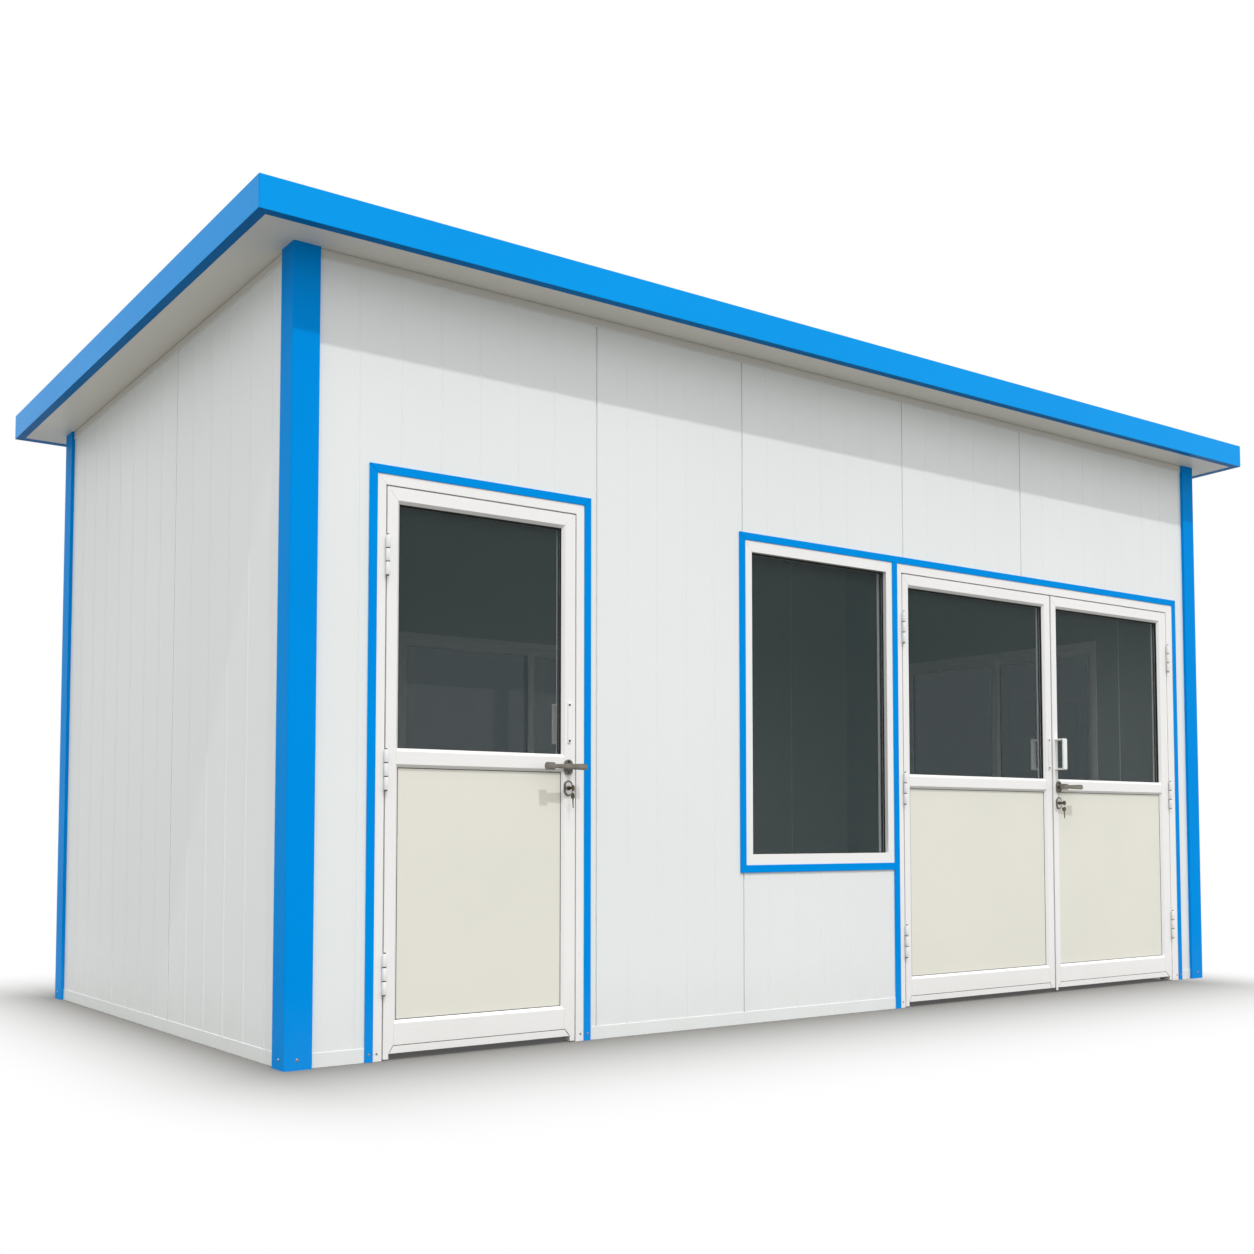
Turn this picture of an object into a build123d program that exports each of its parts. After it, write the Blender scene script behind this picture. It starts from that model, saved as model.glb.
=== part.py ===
from build123d import *
import os

# Security guard booth built from sandwich panels, in millimetres.
# The origin is on the ground under the middle of the cabin. X runs along the front, which faces -Y.

# Overall sizes, over the outer faces of the corner posts
length = 5300.0
depth = 2700.0
eave_height = 2809.0
roof_fall = 98.0
end_overhang = 195.0
eave_overhang = 170.0

# Roof panel and the folded edge strip round it
roof_thickness = 110.0
fascia_sheet = 2.5
fascia_lip = 38.0
mitre_gap = 1.0

# Folded corner posts
post_face = 100.0
post_sheet = 3.0
post_proud = 15.0
post_bend_radius = 6.0

# Wall panels, the channel they stand in and the angle under the soffit
wall_thickness = 50.0
channel_height = 50.0
channel_sheet = 2.5
top_trim_width = 27.0
top_trim_sheet = 2.5

# Coloured strips round the front openings
trim_width = 31.0
trim_proud = 6.0
mullion_width = 32.0

# Frames common to both doors and the windows
frame_proud = 3.0
frame_depth = 60.0
hinge_stop_width = 24.0
lock_stop_width = 10.0
stop_thickness = 10.0

# Gaps round the moving leaves
leaf_gap = 5.0
meeting_gap = 7.0
leaf_bottom = 23.0

# Leaves: thickness, glazing and infill
leaf_thickness = 45.0
glass_thickness = 6.0
glass_recess = 21.0
panel_thickness = 20.0
panel_recess = 12.0
bead_step = 1.0
glazing_bite = 7.0
sweep_height = 28.0
sweep_recess = 3.0

# Plain wall strips of the front take what the openings leave, in these shares; the middle takes the rest
left_strip_share = 0.191675
right_strip_share = 0.07454

# Single door, next to the left strip; a bay runs between the joint lines of a leaf
door_hinge_jamb = 37.0
door_lock_jamb = 39.0
door_bay = 807.0
door_joint_height = 2013.0
door_head = 40.0
door_hinge_stile = 52.0
door_lock_stile = 58.0
door_top_rail = 57.0
door_mid_rail_height = 1018.0
door_mid_rail = 68.0
door_bottom_rail = 114.0

# Double door, next to the right strip
pair_left_jamb = 33.0
pair_right_jamb = 57.0
left_bay = 1068.0
right_bay = 987.0
pair_joint_height = 1975.0
pair_head = 43.0
pair_top_rail = 58.0
pair_mid_rail_height = 990.0
pair_mid_rail = 65.0
pair_bottom_rail = 113.0
left_hinge_stile = 48.0
left_lock_stile = 52.0
right_lock_stile = 52.0
right_hinge_stile = 70.0

# Front window, beside the double door
window_width = 883.0
window_sill = 653.0
window_side_bar = 38.0
window_top_bar = 48.0
window_bottom_bar = 45.0
window_recess = 26.0

# Sliding windows of the right end and the back
end_window_width = 1500.0
back_window_width = 1800.0
slider_sill = 850.0
slider_head = 1900.0
slider_bar = 36.0
slider_inset = 6.0
sash_bar = 40.0
sash_thickness = 22.0
sash_gap = 2.0
sash_overlap = 40.0

# Hinges: three barrels a leaf, on the joint line
barrel_radius = 8.0
barrel_stand_off = 10.0
barrel_height = 142.0
barrel_play = 0.5
pin_radius = 4.0
pin_play = 0.05
plate_depth = 25.0
plate_play = 0.3
hinge_rise = 299.0
hinge_drop = 249.0
hinge_middle_share = 0.484

# Pull handles, and the slim plates on the leaf's other face that take their screws
pull_plate_width = 14.0
pull_plate_thickness = 5.0
pull_plate_edge = 1.5
pull_height = 155.0
pull_width = 30.0
pull_reach = 52.0
pull_thickness = 8.0
pull_bend_radius = 6.0
door_pull_middle = 1206.0
door_pull_back_set = 31.0
pair_pull_middle = 1178.0
left_pull_back_set = 26.0
right_pull_back_set = 37.0

# Lever handles and key cylinders
rose_radius = 22.0
rose_thickness = 8.0
neck_radius = 8.0
neck_play = 0.05
neck_gap = 2.5
spindle_radius = 6.0
spindle_bore_radius = 11.0
lever_reach = 52.0
lever_thick_radius = 13.5
lever_thin_radius = 8.5
lever_end_radius = 15.0
lever_end_length = 36.0
lever_edge = 2.5
door_lever_height = 1037.0
pair_lever_height = 1015.0
door_lever_grip = 132.0
door_lever_tail = 46.0
pair_lever_drum = 36.0
pair_lever_grip = 112.0
inner_lever_tail = 12.0
door_lever_back_set = 35.0
pair_lever_back_set = 46.0
lock_drop = 80.0
lock_width = 40.0
lock_height = 60.0
lock_thickness = 6.0
lock_cylinder_radius = 9.0
lock_cylinder_reach = 4.0
key_thickness = 2.5
key_blade_height = 8.0
key_blade_reach = 16.0
key_bow_radius = 11.0
key_ring_radius = 9.0
key_ring_wire = 1.5
spare_key_length = 38.0

# One overrun for every cut, and the sides that stand for the round of knuckles, bars, discs and keys
overrun = 20.0
round_sides = 16

# Places worked out from the sizes above
left_end = -length / 2
right_end = length / 2
front_end = -depth / 2
back_end = depth / 2
roof_left = left_end - end_overhang
roof_right = right_end + end_overhang
roof_front = front_end - eave_overhang
roof_back = back_end + eave_overhang

wall_left = left_end + post_proud
wall_right = right_end - post_proud
wall_front = front_end + post_proud
wall_back = back_end - post_proud
room_left = wall_left + wall_thickness
room_right = wall_right - wall_thickness
room_front = wall_front + wall_thickness
room_back = wall_back - wall_thickness

trim_front = wall_front - trim_proud
leaf_front = wall_front - frame_proud
leaf_back = leaf_front + leaf_thickness
frame_back = leaf_front + frame_depth
pin_line = leaf_front - barrel_stand_off

door_frame_width = door_hinge_jamb + door_bay + door_lock_jamb
pair_frame_width = pair_left_jamb + left_bay + right_bay + pair_right_jamb
opening_width = door_frame_width + window_width + mullion_width + pair_frame_width
spare_width = length - opening_width - 2 * post_face - 4 * trim_width
left_strip = spare_width * left_strip_share
right_strip = spare_width * right_strip_share

door_frame_left = left_end + post_face + left_strip + trim_width
door_hinge_line = door_frame_left + door_hinge_jamb
door_lock_line = door_hinge_line + door_bay
door_frame_right = door_lock_line + door_lock_jamb
door_frame_top = door_joint_height + door_head

pair_frame_right = right_end - post_face - right_strip - trim_width
right_hinge_line = pair_frame_right - pair_right_jamb
meeting_line = right_hinge_line - right_bay
left_hinge_line = meeting_line - left_bay
pair_frame_left = left_hinge_line - pair_left_jamb
pair_frame_top = pair_joint_height + pair_head

window_right = pair_frame_left - mullion_width
window_left = window_right - window_width

door_lever_place = door_lock_line - door_lever_back_set
pair_lever_place = meeting_line + pair_lever_back_set


def soffit(y):
    """Height of the roof panel's underside at a distance along Y."""
    return eave_height - roof_fall * (y - roof_front) / (roof_back - roof_front)


def block(x_low, x_high, y_low, y_high, z_low, z_high):
    """Box between two corners."""
    middle = Pos((x_low + x_high) / 2, (y_low + y_high) / 2, (z_low + z_high) / 2)
    return middle * Box(x_high - x_low, y_high - y_low, z_high - z_low)


def prism_along_x(x_low, x_high, outline):
    """Outline of (y, z) points carried from one X to another."""
    face = make_face(Plane.YZ.offset(x_low) * Polyline(*outline, close=True))
    return extrude(face, amount=x_high - x_low, dir=(1, 0, 0))


def prism_up(outline, z_low, z_high):
    """Outline of (x, y) points carried from one height to another."""
    face = make_face(Plane.XY.offset(z_low) * Polyline(*outline, close=True))
    return extrude(face, amount=z_high - z_low, dir=(0, 0, 1))


def under_roof(x_low, x_high, y_low, y_high, z_low):
    """Block that rises to the sloping underside of the roof."""
    outline = [(y_low, z_low), (y_high, z_low), (y_high, soffit(y_high)), (y_low, soffit(y_low))]
    return prism_along_x(x_low, x_high, outline)


def roof_layer(x_low, x_high, y_low, y_high, low, high):
    """Layer that follows the slope of the roof, between two distances above its underside."""
    outline = [
        (y_low, soffit(y_low) + low),
        (y_high, soffit(y_high) + low),
        (y_high, soffit(y_high) + high),
        (y_low, soffit(y_low) + high),
    ]
    return prism_along_x(x_low, x_high, outline)


def corner_posts():
    """Four folded corner covers with lips that return to the wall faces."""
    outline = [
        (0, 0),
        (post_face, 0),
        (post_face, post_proud),
        (post_face - post_sheet, post_proud),
        (post_face - post_sheet, post_sheet),
        (post_sheet, post_sheet),
        (post_sheet, post_face - post_sheet),
        (post_proud, post_face - post_sheet),
        (post_proud, post_face),
        (0, post_face),
    ]
    corners = [(left_end, front_end), (right_end, front_end), (right_end, back_end), (left_end, back_end)]
    roof_body = roof_layer(roof_left, roof_right, roof_front, roof_back, 0, eave_height)
    posts = []
    for turn, (x, y) in enumerate(corners):
        post = prism_up(outline, 0, eave_height)
        bend = post.edges().filter_by(Axis.Z).sort_by_distance((0, 0, eave_height / 2))[0]
        post = Pos(x, y, 0) * Rot(0, 0, 90 * turn) * fillet(bend, post_bend_radius)
        posts.append(post - roof_body)
    return Compound([post.solid() for post in posts])


def channel_along_x(x_low, x_high, y_low):
    """U channel that holds the foot of a wall whose low face is at y_low."""
    y_high = y_low + wall_thickness
    outer = block(x_low, x_high, y_low - channel_sheet, y_high + channel_sheet, 0, channel_height)
    above = channel_height + overrun
    return outer - block(x_low - overrun, x_high + overrun, y_low, y_high, channel_sheet, above)


def channel_along_y(y_low, y_high, x_low):
    """The same channel on an end wall."""
    x_high = x_low + wall_thickness
    outer = block(x_low - channel_sheet, x_high + channel_sheet, y_low, y_high, 0, channel_height)
    above = channel_height + overrun
    return outer - block(x_low, x_high, y_low - overrun, y_high + overrun, channel_sheet, above)


def base_channels():
    """Channel runs between the posts and the openings."""
    first = left_end + post_face
    last = right_end - post_face
    runs = [
        channel_along_x(first, door_frame_left - trim_width, wall_front),
        channel_along_x(door_frame_right + trim_width, window_right, wall_front),
        channel_along_x(pair_frame_right + trim_width, last, wall_front),
        channel_along_x(first, last, room_back),
        channel_along_y(front_end + post_face, back_end - post_face, wall_left),
        channel_along_y(front_end + post_face, back_end - post_face, room_right),
    ]
    return Compound([run.solid() for run in runs])


def front_wall_piece(x_low, x_high, z_low):
    """Piece of the front wall that reaches the roof."""
    return under_roof(x_low, x_high, wall_front, room_front, z_low)


def wall_top_trim():
    """Angle under the soffit all round, outside the posts."""
    def ring(reach, low):
        outer = roof_layer(left_end - reach, right_end + reach, front_end - reach, back_end + reach, low, 0)
        return outer - block(left_end, right_end, front_end, back_end, 0, eave_height + overrun)
    return ring(top_trim_sheet, -top_trim_width) + ring(top_trim_width, -top_trim_sheet)


def roof_panel():
    """Sandwich panel that fills the edge strips."""
    return roof_layer(
        roof_left + fascia_sheet,
        roof_right - fascia_sheet,
        roof_front + fascia_sheet,
        roof_back - fascia_sheet,
        0,
        roof_thickness,
    )


def fascia(x_low, x_high, y_low, y_high):
    """Folded strip round the whole roof edge, before the corners are mitred apart."""
    top = roof_thickness + fascia_sheet
    outer = roof_layer(x_low, x_high, y_low, y_high, -fascia_sheet, top)
    sheet = fascia_sheet
    lip = fascia_lip
    panel = roof_layer(x_low + sheet, x_high - sheet, y_low + sheet, y_high - sheet, 0, roof_thickness)
    inside = roof_layer(x_low + lip, x_high - lip, y_low + lip, y_high - lip, -overrun, top + overrun)
    return outer - panel - inside


def roof_fascias():
    """Four edge strips, parted at the corners by a mitre."""
    whole = fascia(roof_left, roof_right, roof_front, roof_back)
    gap = mitre_gap / 2
    reach = fascia_lip + overrun
    highest = eave_height + roof_thickness + overrun
    lowest = eave_height - roof_fall - overrun
    strips = []
    for side in (-1, 1):
        edge = side * (roof_right + overrun)
        inner = edge - side * (reach + overrun)
        low = roof_front - overrun + gap
        high = roof_back + overrun - gap
        turn = reach + overrun
        outline = [(edge, low), (edge, high), (inner, high - turn), (inner, low + turn)]
        strips.append(whole & prism_up(outline, lowest, highest))
        edge = side * (roof_back + overrun)
        inner = edge - side * (reach + overrun)
        low = roof_left - overrun + gap
        high = roof_right + overrun - gap
        outline = [(low, edge), (high, edge), (high - turn, inner), (low + turn, inner)]
        strips.append(whole & prism_up(outline, lowest, highest))
    return Compound([strip.solid() for strip in strips])


def trim_strip(x_low, x_high, z_low, z_high):
    """Flat strip on the front wall face."""
    return block(x_low, x_high, trim_front, wall_front, z_low, z_high)


def door_trim():
    """Strip on both sides of and over the single door."""
    outer = trim_strip(
        door_frame_left - trim_width, door_frame_right + trim_width, 0, door_frame_top + trim_width
    )
    cut_front = trim_front - overrun
    cut_back = wall_front + overrun
    return outer - block(door_frame_left, door_frame_right, cut_front, cut_back, -overrun, door_frame_top)


def pair_trim():
    """Strip round the window and the double door, in one line at the top."""
    window_trim = trim_strip(
        window_left - trim_width, window_right, window_sill - trim_width, pair_frame_top + trim_width
    )
    pair_outer = trim_strip(window_right, pair_frame_right + trim_width, 0, pair_frame_top + trim_width)
    cut_front = trim_front - overrun
    cut_back = wall_front + overrun
    window_hole = block(window_left, window_right, cut_front, cut_back, window_sill, pair_frame_top)
    pair_hole = block(window_right, pair_frame_right, cut_front, cut_back, -overrun, pair_frame_top)
    return window_trim + pair_outer - window_hole - pair_hole


def door_frame(x_low, x_high, left_jamb, right_jamb, z_high, head, right_stop):
    """Rebated frame: jambs and head with a stop behind the leaf, open to the ground."""
    inner_left = x_low + left_jamb - leaf_gap / 2
    inner_right = x_high - right_jamb + leaf_gap / 2
    inner_top = z_high - head + leaf_gap / 2
    outer = block(x_low, x_high, leaf_front, frame_back, 0, z_high)
    rebate = block(
        inner_left, inner_right, leaf_front - overrun, frame_back - stop_thickness, -overrun, inner_top
    )
    way_through = block(
        inner_left + hinge_stop_width,
        inner_right - right_stop,
        leaf_front - overrun,
        frame_back + overrun,
        -overrun,
        inner_top - hinge_stop_width,
    )
    return outer - rebate - way_through


def pane(x_low, x_high, y_low, thickness, z_low, z_high):
    """Sheet that reaches into the glazing groove all round an opening."""
    return block(
        x_low - glazing_bite,
        x_high + glazing_bite,
        y_low,
        y_low + thickness,
        z_low - glazing_bite,
        z_high + glazing_bite,
    )


def splay(x_low, x_high, z_low, z_high):
    """Cut that slopes the front edges of an opening in all round, short of the infill."""
    slope = panel_recess - bead_step
    sections = []
    for y, spread in ((leaf_front - overrun, slope + overrun), (leaf_front + slope, 0)):
        outline = Plane.XZ * Rectangle(x_high - x_low + 2 * spread, z_high - z_low + 2 * spread)
        sections.append(Pos((x_low + x_high) / 2, y, (z_low + z_high) / 2) * outline)
    return loft(sections, ruled=True)


def leaf_pieces(x_low, x_high, z_high, left_stile, right_stile, top_rail, mid_height, mid_rail, bottom_rail):
    """Leaf of stiles and rails, with its glass above and its infill panel below."""
    open_left = x_low + left_stile
    open_right = x_high - right_stile
    glass_low = mid_height + mid_rail
    glass_high = z_high - top_rail
    panel_low = leaf_bottom + bottom_rail
    glass_front = leaf_front + glass_recess
    panel_front = leaf_front + panel_recess
    cut_front = leaf_front - overrun
    cut_back = leaf_back + overrun
    glass = pane(open_left, open_right, glass_front, glass_thickness, glass_low, glass_high)
    panel = pane(open_left, open_right, panel_front, panel_thickness, panel_low, mid_height)
    leaf = block(x_low, x_high, leaf_front, leaf_back, leaf_bottom, z_high)
    for low, high in ((glass_low, glass_high), (panel_low, mid_height)):
        leaf -= block(open_left, open_right, cut_front, cut_back, low, high)
        leaf -= splay(open_left, open_right, low, high)
    sweep_front = leaf_front + sweep_recess
    sweep_top = leaf_bottom + sweep_height
    leaf -= block(x_low - overrun, x_high + overrun, cut_front, sweep_front, leaf_bottom - overrun, sweep_top)
    return leaf - glass - panel, glass, panel


def barrel(line, height, outline, z_low, z_high):
    """Upright bar on a hinge's axis, between two heights about the hinge's middle."""
    return Pos(line, pin_line, height + z_low) * extrude(outline, amount=z_high - z_low)


def hinge_plate(line, side, height, z_low, z_high):
    """Plate from the barrel back along the joint, on one side of the hinge line."""
    near = line + side * plate_play
    far = line + side * leaf_gap / 2
    return block(
        min(near, far), max(near, far), pin_line, leaf_front + plate_depth, height + z_low, height + z_high
    )


def frame_hinge(line, leaf_side, height):
    """Frame half of a hinge: bottom and top knuckles, pin and plates."""
    end = barrel_height / 2
    split = barrel_height / 6
    pin = Circle(pin_radius)
    knuckle = RegularPolygon(barrel_radius, round_sides)
    half = barrel(line, height, pin, -split - barrel_play, split + barrel_play)
    for low, high in ((-end, -split - barrel_play), (split + barrel_play, end)):
        half += barrel(line, height, knuckle, low, high)
        half += hinge_plate(line, -leaf_side, height, low, high)
    return half


def leaf_hinge(line, leaf_side, height):
    """Leaf half of a hinge: the bored middle knuckle and its plate."""
    split = barrel_height / 6
    knuckle = RegularPolygon(barrel_radius, round_sides)
    bore = Circle(pin_radius + pin_play)
    half = barrel(line, height, knuckle, -split, split)
    half += hinge_plate(line, leaf_side, height, -split, split)
    return half - barrel(line, height, bore, -split - overrun, split + overrun)


def hinge_heights(joint_height):
    """Heights of the three hinges of a leaf."""
    low = hinge_rise
    high = joint_height - hinge_drop
    return low, low + (high - low) * hinge_middle_share, high


def leaf_hinges(line, leaf_side, joint_height):
    """Leaf halves at the three heights."""
    halves = [leaf_hinge(line, leaf_side, height).solid() for height in hinge_heights(joint_height)]
    return Compound(halves)


def frame_hinges():
    """Frame halves of every hinge."""
    rows = [
        (door_hinge_line, 1, door_joint_height),
        (left_hinge_line, 1, pair_joint_height),
        (right_hinge_line, -1, pair_joint_height),
    ]
    halves = []
    for line, leaf_side, joint_height in rows:
        for height in hinge_heights(joint_height):
            halves.append(frame_hinge(line, leaf_side, height).solid())
    return Compound(halves)


def pull(x, middle):
    """Flat bent pull handle on the inside of a leaf."""
    half = pull_height / 2
    grip = leaf_back + pull_reach
    outer = prism_along_x(
        x - pull_width / 2,
        x + pull_width / 2,
        [(leaf_back, middle - half), (grip, middle - half), (grip, middle + half), (leaf_back, middle + half)],
    )
    bends = outer.edges().filter_by(Axis.X).sort_by_distance((x, leaf_back, middle))[-2:]
    outer = fillet(bends, pull_bend_radius)
    gap_half = half - pull_thickness
    return outer - block(
        x - pull_width,
        x + pull_width,
        leaf_back - overrun,
        grip - pull_thickness,
        middle - gap_half,
        middle + gap_half,
    )


def pull_plate(x, middle):
    """Slim plate on the outside of a leaf with its front edges chamfered."""
    half = pull_height / 2
    plate = block(
        x - pull_plate_width / 2,
        x + pull_plate_width / 2,
        leaf_front - pull_plate_thickness,
        leaf_front,
        middle - half,
        middle + half,
    )
    front = plate.faces().sort_by(Axis.Y)[0]
    return chamfer(front.edges(), pull_plate_edge)


def pulls(x, middle):
    """Plate outside and pull handle inside a leaf."""
    return Compound([pull_plate(x, middle).solid(), pull(x, middle).solid()])


def turned_pulls(x, middle):
    """Pull handle outside and plate inside a leaf."""
    leaf_middle = (leaf_front + leaf_back) / 2
    turn = Pos(x, leaf_middle, 0) * Rot(0, 0, 180) * Pos(-x, -leaf_middle, 0)
    return Compound([(turn * pull(x, middle)).solid(), (turn * pull_plate(x, middle)).solid()])


def across(x, z, radius, y_low, y_high):
    """Cylinder along Y."""
    return Pos(x, (y_low + y_high) / 2, z) * Rot(90, 0, 0) * Cylinder(radius, y_high - y_low)


def disc(x, z, radius, y_low, y_high):
    """Many-sided disc along Y."""
    outline = Plane.XZ * RegularPolygon(radius, round_sides)
    return Pos(x, y_high, z) * extrude(outline, amount=y_high - y_low)


def bar_piece(*sections):
    """Bar along X through many-sided sections, each given by its place and its radius."""
    outlines = []
    for place, radius in sections:
        outline = Plane.YZ * RegularPolygon(radius, round_sides)
        outlines.append(Pos(place, 0, 0) * outline)
    return loft(outlines, ruled=True)


def lever_bar(drum_reach, thick_reach):
    """Tapered bar along X with a drum at its left end and both ends eased."""
    shoulder = lever_end_length - drum_reach
    drum = bar_piece(
        (-drum_reach, lever_end_radius - lever_edge),
        (-drum_reach + lever_edge, lever_end_radius),
        (shoulder, lever_end_radius),
    )
    return drum + bar_piece(
        (shoulder, lever_thin_radius),
        (thick_reach - lever_edge, lever_thick_radius),
        (thick_reach, lever_thick_radius - lever_edge),
    )


def lever(x, z, outer_bar, inner_bar):
    """Outer and inner bar on one spindle."""
    outer_line = leaf_front - lever_reach
    inner_line = leaf_back + lever_reach
    handle = across(x, z, spindle_radius, outer_line, inner_line)
    handle += across(x, z, neck_radius, outer_line, leaf_front - neck_gap)
    handle += across(x, z, neck_radius, leaf_back + neck_gap, inner_line)
    handle += Pos(x, outer_line, z) * outer_bar
    return handle + Pos(x, inner_line, z) * inner_bar


def rose(x, z, face, outward):
    """Round plate that the lever turns in."""
    y_low, y_high = sorted((face, face + outward * rose_thickness))
    plate = disc(x, z, rose_radius, y_low, y_high)
    return plate - across(x, z, neck_radius + neck_play, y_low - overrun, y_high + overrun)


def lock_plate(x, z, face, outward):
    """Rounded plate with the end of the key cylinder."""
    y_low, y_high = sorted((face, face + outward * lock_thickness))
    outline = SlotOverall(lock_height, lock_width, rotation=90)
    plate = Pos(x, y_high, z) * extrude(Plane.XZ * outline, amount=y_high - y_low)
    reach = sorted((face, face + outward * (lock_thickness + lock_cylinder_reach)))
    return plate + disc(x, z, lock_cylinder_radius, reach[0], reach[1])


def key_ring(x, y, z):
    """Flat ring that faces the front."""
    outer = RegularPolygon(key_ring_radius + key_ring_wire, round_sides)
    inner = RegularPolygon(key_ring_radius - key_ring_wire, round_sides)
    return Pos(x, y + key_ring_wire, z) * extrude(Plane.XZ * (outer - inner), amount=2 * key_ring_wire)


def keys(x, z):
    """Key in the outer cylinder, with a ring and a second key hanging from it."""
    front = leaf_front - lock_thickness - lock_cylinder_reach
    half = key_thickness / 2
    blade_end = front - key_blade_reach
    bow_middle = blade_end - key_bow_radius / 2
    ring_middle = z - key_bow_radius - key_ring_radius / 2
    spare_middle = ring_middle - key_ring_radius - key_bow_radius / 2
    blade_half = key_blade_height / 2
    bunch = block(x - half, x + half, blade_end, front, z - blade_half, z + blade_half)
    bow = extrude(Plane.YZ * RegularPolygon(key_bow_radius, round_sides), amount=key_thickness)
    for height in (z, spare_middle):
        bunch += Pos(x - half, bow_middle, height) * bow
    bunch += key_ring(x, bow_middle, ring_middle)
    low = spare_middle - spare_key_length
    near = bow_middle - blade_half
    far = bow_middle + blade_half
    return bunch + block(x - half, x + half, near, far, low, spare_middle)


def lock_set(x, lever_height):
    """Roses and key cylinder plates on both faces, with the keys outside."""
    low = lever_height - lock_drop
    outside = lock_plate(x, low, leaf_front, -1) + keys(x, low)
    pieces = [
        rose(x, lever_height, leaf_front, -1),
        rose(x, lever_height, leaf_back, 1),
        outside,
        lock_plate(x, low, leaf_back, 1),
    ]
    return Compound([piece.solid() for piece in pieces])


def window_ring(x_low, x_high, y_low, y_high, z_low, z_high, side, top, bottom):
    """Rectangular frame round an opening."""
    outer = block(x_low, x_high, y_low, y_high, z_low, z_high)
    return outer - block(
        x_low + side, x_high - side, y_low - overrun, y_high + overrun, z_low + bottom, z_high - top
    )


def front_window():
    """Fixed frame and its pane."""
    frame = window_ring(
        window_left,
        window_right,
        leaf_front,
        frame_back,
        window_sill,
        pair_frame_top,
        window_side_bar,
        window_top_bar,
        window_bottom_bar,
    )
    glass = pane(
        window_left + window_side_bar,
        window_right - window_side_bar,
        leaf_front + window_recess,
        glass_thickness,
        window_sill + window_bottom_bar,
        pair_frame_top - window_top_bar,
    )
    return frame - glass, glass


def slider(width, place):
    """Two-sash window drawn facing -Y about its own middle, then set in its wall."""
    half = width / 2
    front = -frame_proud
    frame = window_ring(
        -half, half, front, front + frame_depth, slider_sill, slider_head, slider_bar, slider_bar, slider_bar
    )
    inner = half - slider_bar
    sash_low = slider_sill + slider_bar
    sash_high = slider_head - slider_bar
    sashes = []
    panes = []
    for side in (-1, 1):
        near = -side * sash_overlap / 2
        far = side * inner
        x_low, x_high = sorted((near, far))
        track = front + slider_inset
        if side > 0:
            track += sash_thickness + sash_gap
        glass = pane(
            x_low + sash_bar,
            x_high - sash_bar,
            track + (sash_thickness - glass_thickness) / 2,
            glass_thickness,
            sash_low + sash_bar,
            sash_high - sash_bar,
        )
        sash = window_ring(
            x_low, x_high, track, track + sash_thickness, sash_low, sash_high, sash_bar, sash_bar, sash_bar
        )
        sashes.append(place * (sash - glass).solid())
        panes.append(place * glass.solid())
    return place * frame, sashes, panes


def wall_with_window(x_low, x_high, y_low, y_high, along, half):
    """Sides, top and bottom of a wall round a window in its middle."""
    lowest = channel_sheet
    if along == "x":
        sides = [
            under_roof(x_low, -half, y_low, y_high, lowest),
            under_roof(half, x_high, y_low, y_high, lowest),
        ]
        over = under_roof(-half, half, y_low, y_high, slider_head)
        under = block(-half, half, y_low, y_high, lowest, slider_sill)
    else:
        sides = [
            under_roof(x_low, x_high, y_low, -half, lowest),
            under_roof(x_low, x_high, half, y_high, lowest),
        ]
        over = under_roof(x_low, x_high, -half, half, slider_head)
        under = block(x_low, x_high, -half, half, lowest, slider_sill)
    return Compound([side.solid() for side in sides]), over, under


nodes = {}

# Shell
nodes["corner_posts"] = corner_posts()
nodes["base_channels"] = base_channels()
nodes["front_left_wall"] = front_wall_piece(wall_left, door_frame_left, channel_sheet)
nodes["wall_over_door"] = front_wall_piece(door_frame_left, door_frame_right, door_frame_top)
nodes["front_middle_wall"] = front_wall_piece(door_frame_right, window_left, channel_sheet)
nodes["wall_under_window"] = block(
    window_left, window_right, wall_front, room_front, channel_sheet, window_sill
)
nodes["wall_over_window_and_doors"] = front_wall_piece(window_left, pair_frame_right, pair_frame_top)
nodes["front_right_wall"] = front_wall_piece(pair_frame_right, wall_right, channel_sheet)
nodes["left_wall"] = under_roof(wall_left, room_left, room_front, room_back, channel_sheet)
(
    nodes["right_wall_sides"],
    nodes["right_wall_over_window"],
    nodes["right_wall_under_window"],
) = wall_with_window(room_right, wall_right, room_front, room_back, "y", end_window_width / 2)
(
    nodes["back_wall_sides"],
    nodes["back_wall_over_window"],
    nodes["back_wall_under_window"],
) = wall_with_window(wall_left, wall_right, room_back, wall_back, "x", back_window_width / 2)

# Roof
nodes["roof_panel"] = roof_panel()
nodes["roof_fascias"] = roof_fascias()
nodes["wall_top_trim"] = wall_top_trim()

# Frames, windows and coloured strips
nodes["door_trim"] = door_trim()
nodes["window_and_doors_trim"] = pair_trim()
nodes["mullion_post"] = block(
    window_right, pair_frame_left, trim_front, room_front, 0, pair_frame_top
)
nodes["door_frame"] = door_frame(
    door_frame_left,
    door_frame_right,
    door_hinge_jamb,
    door_lock_jamb,
    door_frame_top,
    door_head,
    lock_stop_width,
)
nodes["double_door_frame"] = door_frame(
    pair_frame_left,
    pair_frame_right,
    pair_left_jamb,
    pair_right_jamb,
    pair_frame_top,
    pair_head,
    hinge_stop_width,
)
nodes["front_window_frame"], front_glass = front_window()
end_place = Pos(wall_right, 0, 0) * Rot(0, 0, 90)
back_place = Pos(0, wall_back, 0) * Rot(0, 0, 180)
nodes["end_window_frame"], end_sashes, end_panes = slider(end_window_width, end_place)
nodes["back_window_frame"], back_sashes, back_panes = slider(back_window_width, back_place)
nodes["sliding_sashes"] = Compound(end_sashes + back_sashes)
nodes["window_panes"] = Compound([front_glass.solid()] + end_panes + back_panes)
nodes["frame_hinge_knuckles"] = frame_hinges()

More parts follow.
